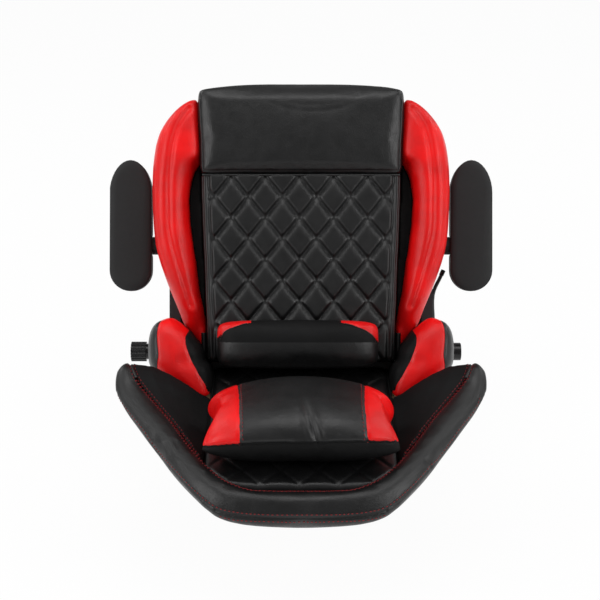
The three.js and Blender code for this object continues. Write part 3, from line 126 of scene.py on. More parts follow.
# Materials
class Finish:
    """A node material with a Principled shader, and short calls to add textures to it."""

    def __init__(self, name, colour, roughness, specular=0.5, metallic=0.0):
        self.material = bpy.data.materials.new(name)
        self.material.use_nodes = True
        self.tree = self.material.node_tree
        self.shader = self.tree.nodes["Principled BSDF"]
        self.shader.inputs["Base Color"].default_value = (*colour, 1)
        self.shader.inputs["Roughness"].default_value = roughness
        self.shader.inputs["Specular IOR Level"].default_value = specular
        self.shader.inputs["Metallic"].default_value = metallic
        self.place = self.add("ShaderNodeTexCoord").outputs["Object"]
        self.normal = None

    def add(self, kind, **values):
        node = self.tree.nodes.new(kind)
        for key, value in values.items():
            if key in node.inputs:
                node.inputs[key].default_value = value
            else:
                setattr(node, key, value)
        return node

    def join(self, out, to):
        self.tree.links.new(out, to)

    def noise(self, scale, detail=3.0, roughness=0.5):
        node = self.add("ShaderNodeTexNoise")
        node.inputs["Scale"].default_value = scale
        node.inputs["Detail"].default_value = detail
        node.inputs["Roughness"].default_value = roughness
        self.join(self.place, node.inputs["Vector"])
        return node.outputs["Fac"]

    def cells(self, scale, feature="DISTANCE_TO_EDGE"):
        node = self.add("ShaderNodeTexVoronoi", feature=feature)
        node.inputs["Scale"].default_value = scale
        self.join(self.place, node.inputs["Vector"])
        return node.outputs["Distance"]

    def ramp(self, value, low, high, start, end):
        node = self.add("ShaderNodeMapRange")
        for key, number in (("From Min", low), ("From Max", high), ("To Min", start), ("To Max", end)):
            node.inputs[key].default_value = number
        self.join(value, node.inputs["Value"])
        return node.outputs["Result"]

    def bump(self, height, distance, strength=1.0):
        node = self.add("ShaderNodeBump")
        node.inputs["Distance"].default_value = distance
        node.inputs["Strength"].default_value = strength
        self.join(height, node.inputs["Height"])
        if self.normal:
            self.join(self.normal, node.inputs["Normal"])
        self.normal = node.outputs["Normal"]
        self.join(self.normal, self.shader.inputs["Normal"])

    def colours(self, value, first, second):
        node = self.add("ShaderNodeMix", data_type="RGBA")
        node.inputs[6].default_value = (*first, 1)
        node.inputs[7].default_value = (*second, 1)
        self.join(value, node.inputs["Factor"])
        self.join(node.outputs[2], self.shader.inputs["Base Color"])

    def roughness(self, value, low, high):
        self.join(self.ramp(value, 0.3, 0.7, low, high), self.shader.inputs["Roughness"])


def lighter(colour, times):
    return tuple(min(1.0, channel * times) for channel in colour)


def leather(name, colour, roughness, specular, crease=0.35):
    """Coated leather: a fine grain of cells, soft undulation and a slow change of colour and gloss."""
    finish = Finish(name, colour, roughness, specular)
    patches = finish.ramp(finish.noise(14), 0.35, 0.65, 0, 1)
    finish.colours(patches, lighter(colour, 0.82), lighter(colour, 1.15))
    finish.roughness(finish.noise(45, 4), roughness - 0.05, roughness + 0.07)
    finish.bump(finish.noise(38, 4, 0.55), 0.0022, crease)
    finish.bump(finish.ramp(finish.cells(420), 0, 0.3, 0, 1), 0.0003, 0.35)
    finish.bump(finish.noise(1500, 2), 0.00015, 0.5)
    return finish.material


def steel(name, colour, roughness, metallic):
    """Powder-coated or zinc-plated steel, with a fine orange peel."""
    finish = Finish(name, colour, roughness, 0.5, metallic)
    finish.colours(finish.noise(60, 5), lighter(colour, 0.85), lighter(colour, 1.2))
    finish.roughness(finish.noise(90, 5), roughness - 0.06, roughness + 0.1)
    finish.bump(finish.noise(700, 2), 0.00015, 0.35)
    return finish.material


def moulded(name, colour, roughness, specular, pitch):
    """Moulded plastic, rubber or foam skin with a fine even texture."""
    finish = Finish(name, colour, roughness, specular)
    finish.colours(finish.noise(30, 4), lighter(colour, 0.9), lighter(colour, 1.1))
    finish.roughness(finish.noise(120, 3), roughness - 0.04, roughness + 0.06)
    finish.bump(finish.cells(pitch, "F1"), 0.00012, 0.4)
    finish.bump(finish.noise(70, 2), 0.0004, 0.15)
    return finish.material


def plywood_finish():
    """Birch plywood with a stretched grain."""
    finish = Finish("birch_plywood", (0.45, 0.3, 0.16), 0.7)
    mapping = finish.add("ShaderNodeMapping")
    mapping.inputs["Scale"].default_value = (1, 0.06, 1)
    finish.join(finish.place, mapping.inputs["Vector"])
    finish.place = mapping.outputs["Vector"]
    grain = finish.noise(240, 6, 0.6)
    finish.colours(grain, (0.36, 0.22, 0.11), (0.58, 0.42, 0.24))
    finish.bump(grain, 0.0002, 0.5)
    return finish.material


black = (0.0046, 0.0046, 0.0048)
red = (0.76, 0.003, 0.0036)
materials = {
    "black_leather": leather("black_coated_leather", black, 0.38, 0.46),
    "matt_black_leather": leather("matt_black_leather", lighter(black, 0.9), 0.6, 0.15, 0.2),
    "red_leather": leather("red_coated_leather", red, 0.36, 0.32, 0.15),
    "armrest_grey": moulded("soft_armrest_skin", (0.019, 0.019, 0.0195), 0.62, 0.25, 900),
    "black_steel": steel("black_powder_coat", (0.014, 0.014, 0.015), 0.45, 0.0),
    "zinc_steel": steel("zinc_plated_steel", (0.5, 0.5, 0.52), 0.3, 1.0),
    "gloss_black": moulded("gloss_black_plastic", (0.004, 0.004, 0.0045), 0.25, 0.4, 300),
    "rubber_black": moulded("black_rubber", (0.005, 0.005, 0.005), 0.7, 0.25, 500),
    "plywood": plywood_finish(),
}
red_thread = moulded("dark_red_thread", (0.22, 0.012, 0.015), 0.6, 0.3, 1500)
# Matte black for the back's inserts, darker than the leather: partly their matte cloth, partly painted shade of
# the recess they lie in
matte_black_and_shade = leather("matte_black_and_shade_leather", lighter(black, 0.6), 0.7, 0.12, 0.1)


# Mesh helpers
def made(name, bm, body, slot, *more_materials):
    """A smooth object from a bmesh, riding on a body, with the slot's material first."""
    bmesh.ops.recalc_face_normals(bm, faces=bm.faces)
    mesh = bpy.data.meshes.new(name)
    bm.to_mesh(mesh)
    bm.free()
    for material in (materials[slot], *more_materials):
        mesh.materials.append(material)
    mesh.polygons.foreach_set("use_smooth", [True] * len(mesh.polygons))
    piece = bpy.data.objects.new(name, mesh)
    scene.collection.objects.link(piece)
    if body:
        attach(piece, body)
    return piece


def solid_of(node):
    """A CAD node's mesh with its corners merged."""
    bm = bmesh.new()
    bm.from_mesh(cad[node].data)
    bmesh.ops.remove_doubles(bm, verts=bm.verts, dist=0.00002)
    return bm


def settle(piece):
    """Applies the piece's modifiers."""
    bpy.context.view_layer.update()
    shown = piece.evaluated_get(bpy.context.evaluated_depsgraph_get())
    mesh = bpy.data.meshes.new_from_object(shown)
    piece.modifiers.clear()
    piece.data = mesh
    mesh.polygons.foreach_set("use_smooth", [True] * len(mesh.polygons))


def tree_of(piece):
    mesh = piece.data
    return BVHTree.FromPolygons([v.co for v in mesh.vertices], [p.vertices for p in mesh.polygons])


def blown(piece, pressure, cap, held=None):
    """Inflates the piece as cloth, no point moving past the cap. held(place) says where it is sewn down."""
    start = [v.co.copy() for v in piece.data.vertices]
    cloth = piece.modifiers.new("cloth", "CLOTH")
    settings = cloth.settings
    settings.quality = 4
    settings.mass = 0.3
    settings.bending_stiffness = 0.4
    settings.use_pressure = True
    settings.uniform_pressure_force = pressure
    settings.effector_weights.gravity = 0
    if held:
        group = piece.vertex_groups.new(name="sewn")
        group.add([i for i, co in enumerate(start) if held(co)], 1.0, "REPLACE")
        settings.vertex_group_mass = "sewn"
    for number in range(1, cloth_frames + 1):
        scene.frame_set(number)
    settle(piece)
    scene.frame_set(1)
    for vertex, before in zip(piece.data.vertices, start):
        move = vertex.co - before
        if move.length > cap:
            vertex.co = before + move.normalized() * cap
    piece.vertex_groups.clear()
    piece.modifiers.new("taut", "SMOOTH").iterations = taut_passes
    settle(piece)


def reseated(piece, node, share):
    """Moves a smoothed piece part of the way back to its CAD surface, to keep its outline and its tips."""
    bm = solid_of(node)
    tree = BVHTree.FromBMesh(bm)
    bm.free()
    for vertex in piece.data.vertices:
        vertex.co = vertex.co.lerp(tree.find_nearest(vertex.co)[0], share)


def softened(
    name, node, body, slot, voxel, smooth, pressure=0, cap=0, held=None, more=(), firm=0.7
):
    """A soft piece in a CAD solid's place: remeshed, smoothed, blown up as cloth and subdivided once."""
    piece = made(name, solid_of(node), body, slot, *more)
    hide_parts(node)
    remesh = piece.modifiers.new("remesh", "REMESH")
    remesh.mode = "VOXEL"
    remesh.voxel_size = voxel
    relax = piece.modifiers.new("relax", "SMOOTH")
    relax.iterations = smooth
    settle(piece)
    reseated(piece, node, firm)
    piece.modifiers.new("relax", "SMOOTH").iterations = 3
    settle(piece)
    if pressure:
        blown(piece, pressure, cap, held)
    piece.modifiers.new("finer", "SUBSURF").levels = 1
    settle(piece)
    return piece


def points_of(line):
    """A search tree of a line's points."""
    points = kdtree.KDTree(len(line))
    for i, point in enumerate(line):
        points.insert(point, i)
    points.balance()
    return points


def crease(piece, line, depth, width, fade=False):
    """Draws the surface in along a line, which may fade out at its ends."""
    points = points_of(line)
    moves = []
    for vertex in piece.data.vertices:
        nearest, distance = points.find(vertex.co)[1:]
        if distance < 3 * width:
            strength = math.sin(math.pi * (nearest + 0.5) / len(line)) if fade else 1.0
            moves.append((vertex, vertex.normal * (-depth * strength * math.exp(-((distance / width) ** 2)))))
    for vertex, move in moves:
        vertex.co += move


def smooth_line(points, spacing=0.0015):
    """Points evenly along a Catmull-Rom curve through the given ones."""
    points = [Vector(p) for p in points]
    count = len(points)
    line = []
    for i in range(count - 1):
        a, b, c, d = (points[min(max(k, 0), count - 1)] for k in range(i - 1, i + 3))
        steps = max(1, int((c - b).length / spacing))
        for s in range(steps):
            t = s / steps
            square = (2 * a - 5 * b + 4 * c - d) * t * t
            cube = (3 * b - a - 3 * c + d) * t * t * t
            line.append(0.5 * (2 * b + (c - a) * t + square + cube))
    line.append(points[-1])
    return line


def seen_on(piece, pixels):
    """A smooth line on the piece through what the camera sees at the pixels."""
    tree = tree_of(piece)
    places = []
    for pixel in pixels:
        hit = tree.ray_cast(camera_place, sight(pixel))[0]
        if hit is None:
            distance = (places[-1] - camera_place).length if places else chair_distance
            hit = tree.find_nearest(camera_place + sight(pixel) * distance)[0]
        places.append(hit)
    return onto(piece, smooth_line(places))


def onto(piece, line):
    tree = tree_of(piece)
    return [tree.find_nearest(point)[0] for point in line]


def beside(piece, line, offset):
    """A line moved sideways along the surface."""
    tree = tree_of(piece)
    moved = []
    for i, point in enumerate(line):
        along = line[min(i + 1, len(line) - 1)] - line[max(i - 1, 0)]
        normal = tree.find_nearest(point)[1]
        moved.append(tree.find_nearest(point + along.cross(normal).normalized() * offset)[0])
    for _ in range(6):
        moved[1:-1] = [(a + 2 * b + c) / 4 for a, b, c in zip(moved, moved[1:], moved[2:])]
    return moved


def drawn_to(piece, line, reach, share):
    """Pulls the surface near a seam up to it, so that the two pieces sewn there meet."""
    points = points_of(line)
    for vertex in piece.data.vertices:
        place, _, distance = points.find(vertex.co)
        if distance < reach:
            vertex.co = vertex.co.lerp(place, share * (1 - distance / reach) ** 2)


def dimpled(piece, top, foot, depth, width, lobe, lobe_place, lobe_width):
    """A soft dimple from one pixel to another, with a raised lobe on each side. Widths are in pixels."""
    for vertex in piece.data.vertices:
        x, y = pixel_of(vertex.co)
        along = (y - top[1]) / (foot[1] - top[1])
        toward = (camera_place - vertex.co).normalized()
        if 0 < along < 1 and vertex.normal.dot(toward) > 0:
            aside = abs(x - (top[0] + (foot[0] - top[0]) * along))
            height = lobe * math.exp(-(((aside - lobe_place) / lobe_width) ** 2))
            height -= depth * math.exp(-((aside / width) ** 2))
            vertex.co += toward * (height * math.sin(math.pi * along) ** 0.8)


def stitches(name, piece, lines, body, pitch=0.0062, length=0.0044, radius=0.0008):
    """Short threads along lines on a piece, half sunk in its surface."""
    tree = tree_of(piece)
    bm = bmesh.new()
    for line in lines:
        travelled = 0.0
        for before, here in zip(line, line[1:]):
            travelled += (here - before).length
            if travelled < pitch:
                continue
            travelled = 0.0
            place, normal = tree.find_nearest(here)[:2]
            along = (here - before).normalized()
            across = normal.cross(along).normalized()
            turn = Matrix((along, across, along.cross(across))).transposed().to_4x4()
            size = Matrix.Diagonal((length / 2, radius, radius, 1))
            shift = Matrix.Translation(place + normal * radius * 0.4)
            bmesh.ops.create_icosphere(bm, subdivisions=1, radius=1, matrix=shift @ turn @ size)
    made(name, bm, body, "black_leather").data.materials[0] = red_thread


def tube(name, line, radius, body, slot):
    """A round tube along a line of points."""
    curve = bpy.data.curves.new(name, "CURVE")
    curve.dimensions = "3D"
    curve.bevel_depth = radius
    curve.bevel_resolution = 3
    curve.use_fill_caps = True
    spline = curve.splines.new("POLY")
    spline.points.add(len(line) - 1)
    for point, place in zip(spline.points, line):
        point.co = (*place, 1)
    maker = bpy.data.objects.new(name + "_path", curve)
    scene.collection.objects.link(maker)
    bpy.context.view_layer.update()
    mesh = bpy.data.meshes.new_from_object(maker.evaluated_get(bpy.context.evaluated_depsgraph_get()))
    bpy.data.objects.remove(maker)
    bm = bmesh.new()
    bm.from_mesh(mesh)
    bmesh.ops.remove_doubles(bm, verts=bm.verts, dist=0.00001)
    return made(name, bm, body, slot)


def painted(piece, where, index, borders=(), reach=0.0045):
    """Gives the faces for which where(place) holds another material, and lays its edge along the borders."""
    mesh = piece.data
    kinds = [set() for _ in mesh.vertices]
    for face in mesh.polygons:
        if where(face.center):
            face.material_index = index
        for corner in face.vertices:
            kinds[corner].add(face.material_index)
    line = [point for border in borders for point in border]
    if not line:
        return
    points = points_of(line)
    for vertex, found in zip(mesh.vertices, kinds):
        if len(found) > 1:
            first, second = points.find_n(vertex.co, 2)
            if first[2] < reach:
                vertex.co = geometry.intersect_point_line(vertex.co, first[0], second[0])[0]


def eased(piece, centre, radius, times):
    """Smooths the surface round a place, most at its middle."""
    bm = bmesh.new()
    bm.from_mesh(piece.data)
    around = [vertex for vertex in bm.verts if (vertex.co - centre).length < radius]
    for number in range(times):
        within = radius * (1 - 0.5 * number / times)
        near = [vertex for vertex in around if (vertex.co - centre).length < within]
        bmesh.ops.smooth_vert(bm, verts=near, factor=0.5, use_axis_x=True, use_axis_y=True, use_axis_z=True)
    bm.to_mesh(piece.data)
    bm.free()


def finish_rigid(node):
    """Keeps a CAD node, with welded corners, softened edges and its slot's material."""
    piece = cad[node]
    piece.data.polygons.foreach_set("use_smooth", [True] * len(piece.data.polygons))
    piece.modifiers.new("weld", "WELD").merge_threshold = 0.00002
    edge = piece.modifiers.new("bevel", "BEVEL")
    edge.width = edge_softening
    edge.segments = 2
    edge.limit_method = "ANGLE"
    edge.angle_limit = math.radians(32)
    piece.modifiers.new("normals", "WEIGHTED_NORMAL").keep_sharp = True
    slot = slot_of[node]
    piece.data.materials.clear()
    piece.data.materials.append(materials[slot])


slot_of = {row["node"]: row["material_slot"] for row in frame["record"]["subparts"]}


# Quilted middle of the back and of the seat
quilt_pitch = 0.063
quilt_rise = 0.077
quilt_depth = 0.0068
quilt_shift = 0.003
upper_slope = 0.0064  # a cell falls gently to its two upper seams and sharply to its lower ones
lower_slope = 0.0028
seam_wander = 0.001
pucker_depth = 0.0005
pucker_reach = 0.006
seam_spacing = 1 / math.hypot(1 / quilt_pitch, 1 / quilt_rise)


def quilt_height(across, down):
    """How far a quilted surface stands above its seams."""
    wander = seam_wander * noise.noise(Vector((across * 30, down * 30, 4)))
    height = quilt_depth
    nearest = 1.0
    for direction in (1, -1):
        place = direction * (across + quilt_shift + wander) / quilt_pitch + down / quilt_rise
        past = (place - math.floor(place)) * seam_spacing
        left = seam_spacing - past
        height *= 1 - math.exp(-((past / upper_slope) ** 1.5))
        height *= 1 - math.exp(-((left / lower_slope) ** 1.5))
        nearest = min(nearest, past, left)
    pucker = pucker_depth * noise.noise(Vector((across * 160, down * 160, 2)))
    return height + pucker * math.exp(-nearest / pucker_reach)


def quilted(name, node, body, place_of, columns, rows, base):
    """A quilted pad: a fine grid laid by place_of(s, t), closed by walls down to its base."""
    bm = bmesh.new()
    bmesh.ops.create_grid(bm, x_segments=columns, y_segments=rows, size=0.5)
    rim = [edge for edge in bm.edges if edge.is_boundary]
    for vertex in bm.verts:
        vertex.co = place_of(vertex.co.x * 2, vertex.co.y + 0.5)
    walls = bmesh.ops.extrude_edge_only(bm, edges=rim)["geom"]
    for vertex in (item for item in walls if isinstance(item, bmesh.types.BMVert)):
        vertex.co = base(vertex.co)
    bmesh.ops.holes_fill(bm, edges=[item for item in walls if isinstance(item, bmesh.types.BMEdge)])
    piece = made(name, bm, body, "black_leather")
    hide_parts(node)
    return piece


def rolled(distance, radius, drop):
    """How far a pad's face has fallen at a distance from its edge."""
    near = max(0.0, 1 - distance / radius)
    return drop * (1 - math.sqrt(1 - near * near))


# Back pads
pad_top = 0.343
pad_bottom = -0.002
quilt_face = 0.0545
pad_half_bottom = 0.173
pad_half_top = 0.19
back_height = 0.512
cushion_base = -0.0177
hem_width = 0.014  # the plain hem at each side of the quilting, with a low roll along its middle
hem_step = 0.005
hem_rise = 0.0035
hem_middle = 0.0085
hem_half = 0.0045
pad_width_shares = [
    (-0.02, 0),
    (0.08, 0.06),
    (0.15, 0.1),
    (0.22, 0.23),
    (0.3, 0.31),
    (0.365, 0.37),
    (0.425, 0.48),
    (0.5, 0.56),
    (0.59, 0.66),
    (0.72, 0.72),
    (0.85, 0.9),
    (0.96, 1),
    (1, 1),
]


def value_at(rows, place):
    """The value at a place, on straight lines between (place, value) rows."""
    for (start, first), (end, second) in zip(rows, rows[1:]):
        if place <= end:
            return first + (second - first) * max(0.0, (place - start) / (end - start))
    return rows[-1][1]


def pad_half(up):
    share = value_at(pad_width_shares, up / back_height)
    return pad_half_bottom + (pad_half_top - pad_half_bottom) * share


def back_quilt_place(s, t):
    up = pad_bottom + (pad_top - 0.0004 - pad_bottom) * t
    half = pad_half(up)
    across = s * half
    from_side = half - abs(across)
    quilted_share = min(1.0, max(0.0, (from_side - hem_width) / hem_step))
    face = quilt_face + quilted_share * quilt_height(across, pad_top - up)
    face += hem_rise * math.exp(-(((from_side - hem_middle) / hem_half) ** 2))
    face -= rolled(from_side, radius=0.008, drop=0.014)
    face -= rolled(pad_top - up, radius=0.002, drop=0.0015)
    face -= rolled(up - pad_bottom, radius=0.012, drop=0.014)
    return back_frame @ Vector((across, up, face))


def back_base(place):
    local = back_frame.inverted() @ place
    return back_frame @ Vector((local.x, local.y, cushion_base))


quilted("back_quilting", "quilted_pad", "backrest", back_quilt_place, columns=210, rows=210, base=back_base)

head = softened(
    "head_panel", "head_pad", "backrest", "black_leather",
    voxel=0.004, smooth=3, pressure=1.5, cap=0.0025,
)
head_arc_pixels = [(262, 99), (285, 107), (310, 111), (335, 109), (356, 102), (374, 95)]
head_fold_pixels = [(270, 96), (300, 104), (330, 104), (352, 97)]
crease(head, seen_on(head, head_arc_pixels), depth=0.0004, width=0.005, fade=True)
crease(head, seen_on(head, head_fold_pixels), depth=0.0002, width=0.004, fade=True)


def across_line(half, up, forward):
    """A line across the back from side to side."""
    return smooth_line([back_frame @ Vector((s * half / 20, up, forward)) for s in range(-20, 21)])


def edge_line(side, low, high, inset, forward):
    """A line up one side of the back, a little in from the pads' edge."""
    ups = [low + (high - low) * s / 24 for s in range(25)]
    return smooth_line([back_frame @ Vector((side * (pad_half(up) - inset), up, forward)) for up in ups])


panel_seam = across_line(pad_half(pad_top) * 0.985, pad_top + 0.0045, 0.066)
crease(head, onto(head, panel_seam), depth=0.0009, width=0.0018)
seam_piping = across_line(pad_half(pad_top) - 0.003, pad_top, quilt_face + 0.0035)
tube("panel_seam_piping", seam_piping, radius=0.0022, body="backrest", slot="black_leather")
for word, side in sides.items():
    quilt_edge = edge_line(side, low=0.004, high=pad_top - 0.002, inset=0.0045, forward=0.052)
    head_edge = edge_line(side, low=pad_top + 0.004, high=back_height - 0.03, inset=0.004, forward=0.06)
    tube(f"quilt_piping_{word}", quilt_edge, radius=0.0024, body="backrest", slot="black_leather")
    tube(f"head_piping_{word}", onto(head, head_edge), radius=0.0022, body="backrest", slot="black_leather")

# Wings, inserts and hip bolsters
wing_valley_pixels = [
    (189, 108), (178, 124), (172, 145), (169, 175), (169, 205),
    (170, 230), (176, 256), (184, 282), (191, 306),
]
for word, side in sides.items():
    wing = softened(
        f"wing_cushion_{word}", f"wing_{word}", "backrest", "red_leather",
        voxel=0.005, smooth=8, pressure=2, cap=0.004,
    )
    crease(wing, seen_on(wing, seen_pair(wing_valley_pixels, side)), depth=0.0045, width=0.006)
    insert = softened(
        f"back_insert_{word}", f"insert_{word}", "backrest", "black_leather", voxel=0.0045, smooth=4
    )
    # Partly painted shade: the insert's recess is made darker with the matte black
    insert.data.materials[0] = matte_black_and_shade

# The black fin and gusset of a hip bolster, by the pixels of their borders on the left one
fin_pixels = [
    (190, 329.5), (187, 334), (185.6, 341), (187.5, 350),
    (191.9, 361.3), (198.9, 374.5), (206, 386), (210.5, 394),
]
gusset_pixels = [
    (160.5, 321), (158.2, 324), (157, 328), (156.2, 335),
    (156.8, 346), (157.4, 357), (156.6, 369),
]


hip_face_forward = 0.03


def hip_zone(place, side):
    """1 on a hip bolster's outer gusset and its hidden sides, 2 on its inner fin."""
    x, y = pixel_of(place)
    if side > 0:
        x = 2 * photo_middle - x
    fin_edge = value_at([(row, column) for column, row in fin_pixels], y)
    gusset_edge = value_at([(row, column) for column, row in gusset_pixels], y)
    hidden = (back_frame.inverted() @ place).z < hip_face_forward
    if x > fin_edge and y > fin_pixels[0][1]:
        return 2
    return 1 if hidden or x < gusset_edge else 0


for word, side in sides.items():
    blacks = (materials["black_leather"], materials["matt_black_leather"])
    hip = softened(
        f"hip_cushion_{word}", f"hip_bolster_{word}", "backrest", "red_leather",
        voxel=0.004, smooth=10, pressure=2, cap=0.003, more=blacks, firm=0.6,
    )
    fin_line = seen_on(hip, seen_pair(fin_pixels, side))
    gusset_line = seen_on(hip, seen_pair(gusset_pixels, side))
    crease(hip, fin_line, depth=0.0008, width=0.003)
    crease(hip, gusset_line, depth=0.0013, width=0.003)
    fin_line, gusset_line = onto(hip, fin_line), onto(hip, gusset_line)
    painted(hip, lambda place: hip_zone(place, side) == 1, index=1, borders=(gusset_line,))
    painted(hip, lambda place: hip_zone(place, side) == 2, index=2, borders=(fin_line,))
    gusset_piping = onto(hip, gusset_line)
    tube(f"hip_gusset_piping_{word}", gusset_piping, radius=0.0012, body="backrest", slot="black_leather")


# A welt of cloth closes the lower end of each wing
wing_end_across = 0.1812
wing_end_forward = 0.024
for word, side in sides.items():
    ups = (-0.012, 0.02, 0.052)
    end_welt = [back_frame @ Vector((side * wing_end_across, up, wing_end_forward)) for up in ups]
    tube(f"wing_end_welt_{word}", smooth_line(end_welt), radius=0.005, body="backrest", slot="black_leather")

# Flap that closes the space between the back and the seat
flap_half = 0.185
flap_top = 0.02
flap_drop = 0.085
flap_forward = -0.022
flap_sag = 0.003
flap_waves = 20
bm = bmesh.new()
bmesh.ops.create_grid(bm, x_segments=40, y_segments=12, size=0.5)
for vertex in bm.verts:
    down = (0.5 - vertex.co.y) * flap_drop
    sag = flap_sag * math.sin(vertex.co.x * flap_waves) * down / flap_drop
    vertex.co = back_frame @ Vector((vertex.co.x * 2 * flap_half, flap_top - down, flap_forward + sag))
flap = made("back_flap", bm, None, "black_leather")
flap.modifiers.new("thickness", "SOLIDIFY").thickness = 0.0015
settle(flap)
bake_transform(flap)

# Rear cover
softened("rear_cover_leather", "rear_cover", "backrest", "black_leather", voxel=0.006, smooth=6)

# Seat
seat_depth = 0.45
seat_half = 0.318
wing_rise = 0.088
inner_seam_shares = [
    (0, 0.911, 0),
    (0.17, 0.91, 0),
    (0.28, 0.903, 0.01),
    (0.374, 0.87, 0.04),
    (0.45, 0.822, 0.09),
    (0.522, 0.753, 0.16),
    (0.591, 0.68, 0.23),
    (0.686, 0.578, 0.36),
    (0.764, 0.511, 0.48),
    (0.857, 0.435, 0.66),
    (0.895, 0.405, 0.77),
    (0.918, 0.372, 0.85),
    (0.928, 0.335, 0.87),
    (0.93, 0.318, 0.885),
]


def seam_line(shares):
    """A seam of the seat's bolster from tip to tip."""
    half = [(a * seat_half, f * seat_depth, r * wing_rise) for a, f, r in shares]
    places = [(-a, f, u) for a, f, u in reversed(half[1:])] + half
    return smooth_line([seat_frame @ Vector(place) for place in places])


inner_seam = seam_line(inner_seam_shares)


bolster_sewn_below = -0.07
join_reach = 0.011  # how near the inner seam the bolster and the panels are drawn together
join_share = 0.85


def under_bolster(place):
    return (seat_frame.inverted() @ place).z < bolster_sewn_below


bolster = softened(
    "seat_bolster_leather", "seat_bolster", "seat_base", "black_leather",
    voxel=0.0045, smooth=4, pressure=2, cap=0.004, held=under_bolster, firm=0.85,
)
drawn_to(bolster, inner_seam, join_reach, join_share)
inner_line = onto(bolster, inner_seam)
# Stitched lines and a groove of the outer edge, by their pixels from the left tip to the middle of the front
outer_stitch_pixels = [
    (114, 394), (128, 411), (142.6, 429), (158.6, 451.5), (176, 471),
    (192, 488), (214, 506), (233.5, 512), (265, 514.8), (301, 515),
]
lower_groove_pixels = [(215, 510), (225, 514), (236, 516.5), (265, 518.3), (301, 518.5)]
lower_stitch_pixels = [(216.5, 515), (225, 518), (236.5, 520.3), (265, 521.5), (301, 521.8)]


def seen_across(piece, pixels):
    """A line on the piece through the pixels and their mirror image."""
    return seen_on(piece, pixels + mirrored(pixels[-2::-1]))


outer_stitch = seen_across(bolster, outer_stitch_pixels)
lower_stitch = seen_across(bolster, lower_stitch_pixels)
crease(bolster, beside(bolster, outer_stitch, 0.003), depth=0.0012, width=0.0022)
crease(bolster, seen_across(bolster, lower_groove_pixels), depth=0.0014, width=0.0018)
left_fold_pixels = [[(164, 440), (169, 448), (173, 457)], [(172, 437), (177, 445), (181, 454)]]
right_fold_pixels = [(424, 459), (431, 466), (437, 473)]
for fold in left_fold_pixels:
    crease(bolster, seen_on(bolster, fold), depth=0.0012, width=0.0045, fade=True)
crease(bolster, seen_on(bolster, right_fold_pixels), depth=0.0025, width=0.0045, fade=True)
seam_threads = [onto(bolster, line) for line in (outer_stitch, lower_stitch)]
seam_threads += [beside(bolster, inner_line, offset) for offset in (0.0028, -0.0028)]
stitches("bolster_stitching", bolster, seam_threads, "seat_base")

# A short welt closes the end of the seam between each arm and its panel
welt_radius = 0.0034
welt_places = [(0.2846, 0.182, 0.0678), (0.2919, 0.1674, 0.0748), (0.2948, 0.1535, 0.0766)]
for word, side in sides.items():
    welt = [seat_frame @ Vector((side * x, y, z - welt_radius)) for x, y, z in welt_places]
    tube(f"arm_welt_{word}", smooth_line(welt), radius=welt_radius, body="seat_base", slot="black_leather")

pad_half_width = 0.16
pad_rear = 0.014
pad_front = 0.403
seat_narrows_from = 0.315
seat_crown = 0.009
seat_quilt_share = 0.3  # how deep the seat's quilting is beside the back's
seat_base_height = -0.058


def inside_seam(forward):
    rows = sorted((f * seat_depth, a * seat_half) for a, f, _ in inner_seam_shares[2:])
    return value_at(rows, forward)


def seat_quilt_place(s, t):
    forward = pad_rear + (pad_front - pad_rear) * t
    half = pad_half_width
    if forward >= seat_narrows_from:
        half = min(half, inside_seam(forward) - 0.0015)
    across = s * half
    from_side = half - abs(across)
    face = seat_crown * math.sin(math.pi * math.sqrt(t)) * (1 - s * s) - quilt_depth
    face += seat_quilt_share * quilt_height(across, forward - pad_rear) * min(1.0, from_side / 0.01)
    face -= rolled(from_side, radius=0.008, drop=0.006)
    face -= rolled(forward - pad_rear, radius=0.01, drop=0.009)
    face -= rolled(pad_front - forward, radius=0.01, drop=0.012)
    return seat_frame @ Vector((across, forward, face))


def seat_base_of(place):
    local = seat_frame.inverted() @ place
    return seat_frame @ Vector((local.x, local.y, seat_base_height))


panel_seam_across = 0.165
quilted("seat_quilting", "seat_pad", "seat_base", seat_quilt_place, columns=150, rows=190, base=seat_base_of)
side_welt_across = pad_half_width + 0.0012
side_welt_height = -0.0105
for word, side in sides.items():
    forwards = (0.02, 0.1, 0.2, 0.3)
    side_welt = [seat_frame @ Vector((side * side_welt_across, y, side_welt_height)) for y in forwards]
    side_welt = smooth_line(side_welt)
    tube(f"seat_side_welt_{word}", side_welt, radius=0.0028, body="seat_base", slot="matt_black_leather")
for word, side in sides.items():
    panel = softened(
        f"side_panel_{word}", f"seat_side_panel_{word}", "seat_base", "matt_black_leather",
        voxel=0.004, smooth=3, firm=0.85,
    )
    drawn_to(panel, inner_seam, join_reach, join_share)
    seam = [point for point in inner_seam if side * point.x > panel_seam_across]
    threads = [beside(panel, onto(panel, seam), offset) for offset in (0.003, -0.003)]
    stitches(f"side_panel_stitching_{word}", panel, threads, "seat_base")

# Lumbar pillow: a black panel in front, red behind its upper corners, and painted shade on its top
arch_pixels = [(247, 322.8), (242, 324), (235, 326.6), (224.4, 331.5), (216.5, 338.5), (213, 343)]
lumbar_middle = 296
arch_reach = 4
lumbar_shade_row = 342.5  # above it the pillow's top is given the darker matt leather as painted shade
lumbar_shade_columns = (214, 240, 270, 300, 330, 360, 378)
lumbar = softened(
    "lumbar_cushion", "lumbar_pillow", "lumbar_pillow", "black_leather", voxel=0.004, smooth=4, pressure=3,
    cap=0.004, more=(materials["red_leather"], materials["matt_black_leather"]), firm=0.75
)


def lumbar_is_red(place):
    x, y = pixel_of(place)
    column = lumbar_middle - abs(x - lumbar_middle)
    return column < arch_pixels[0][0] + arch_reach and y < value_at(sorted(arch_pixels), column)


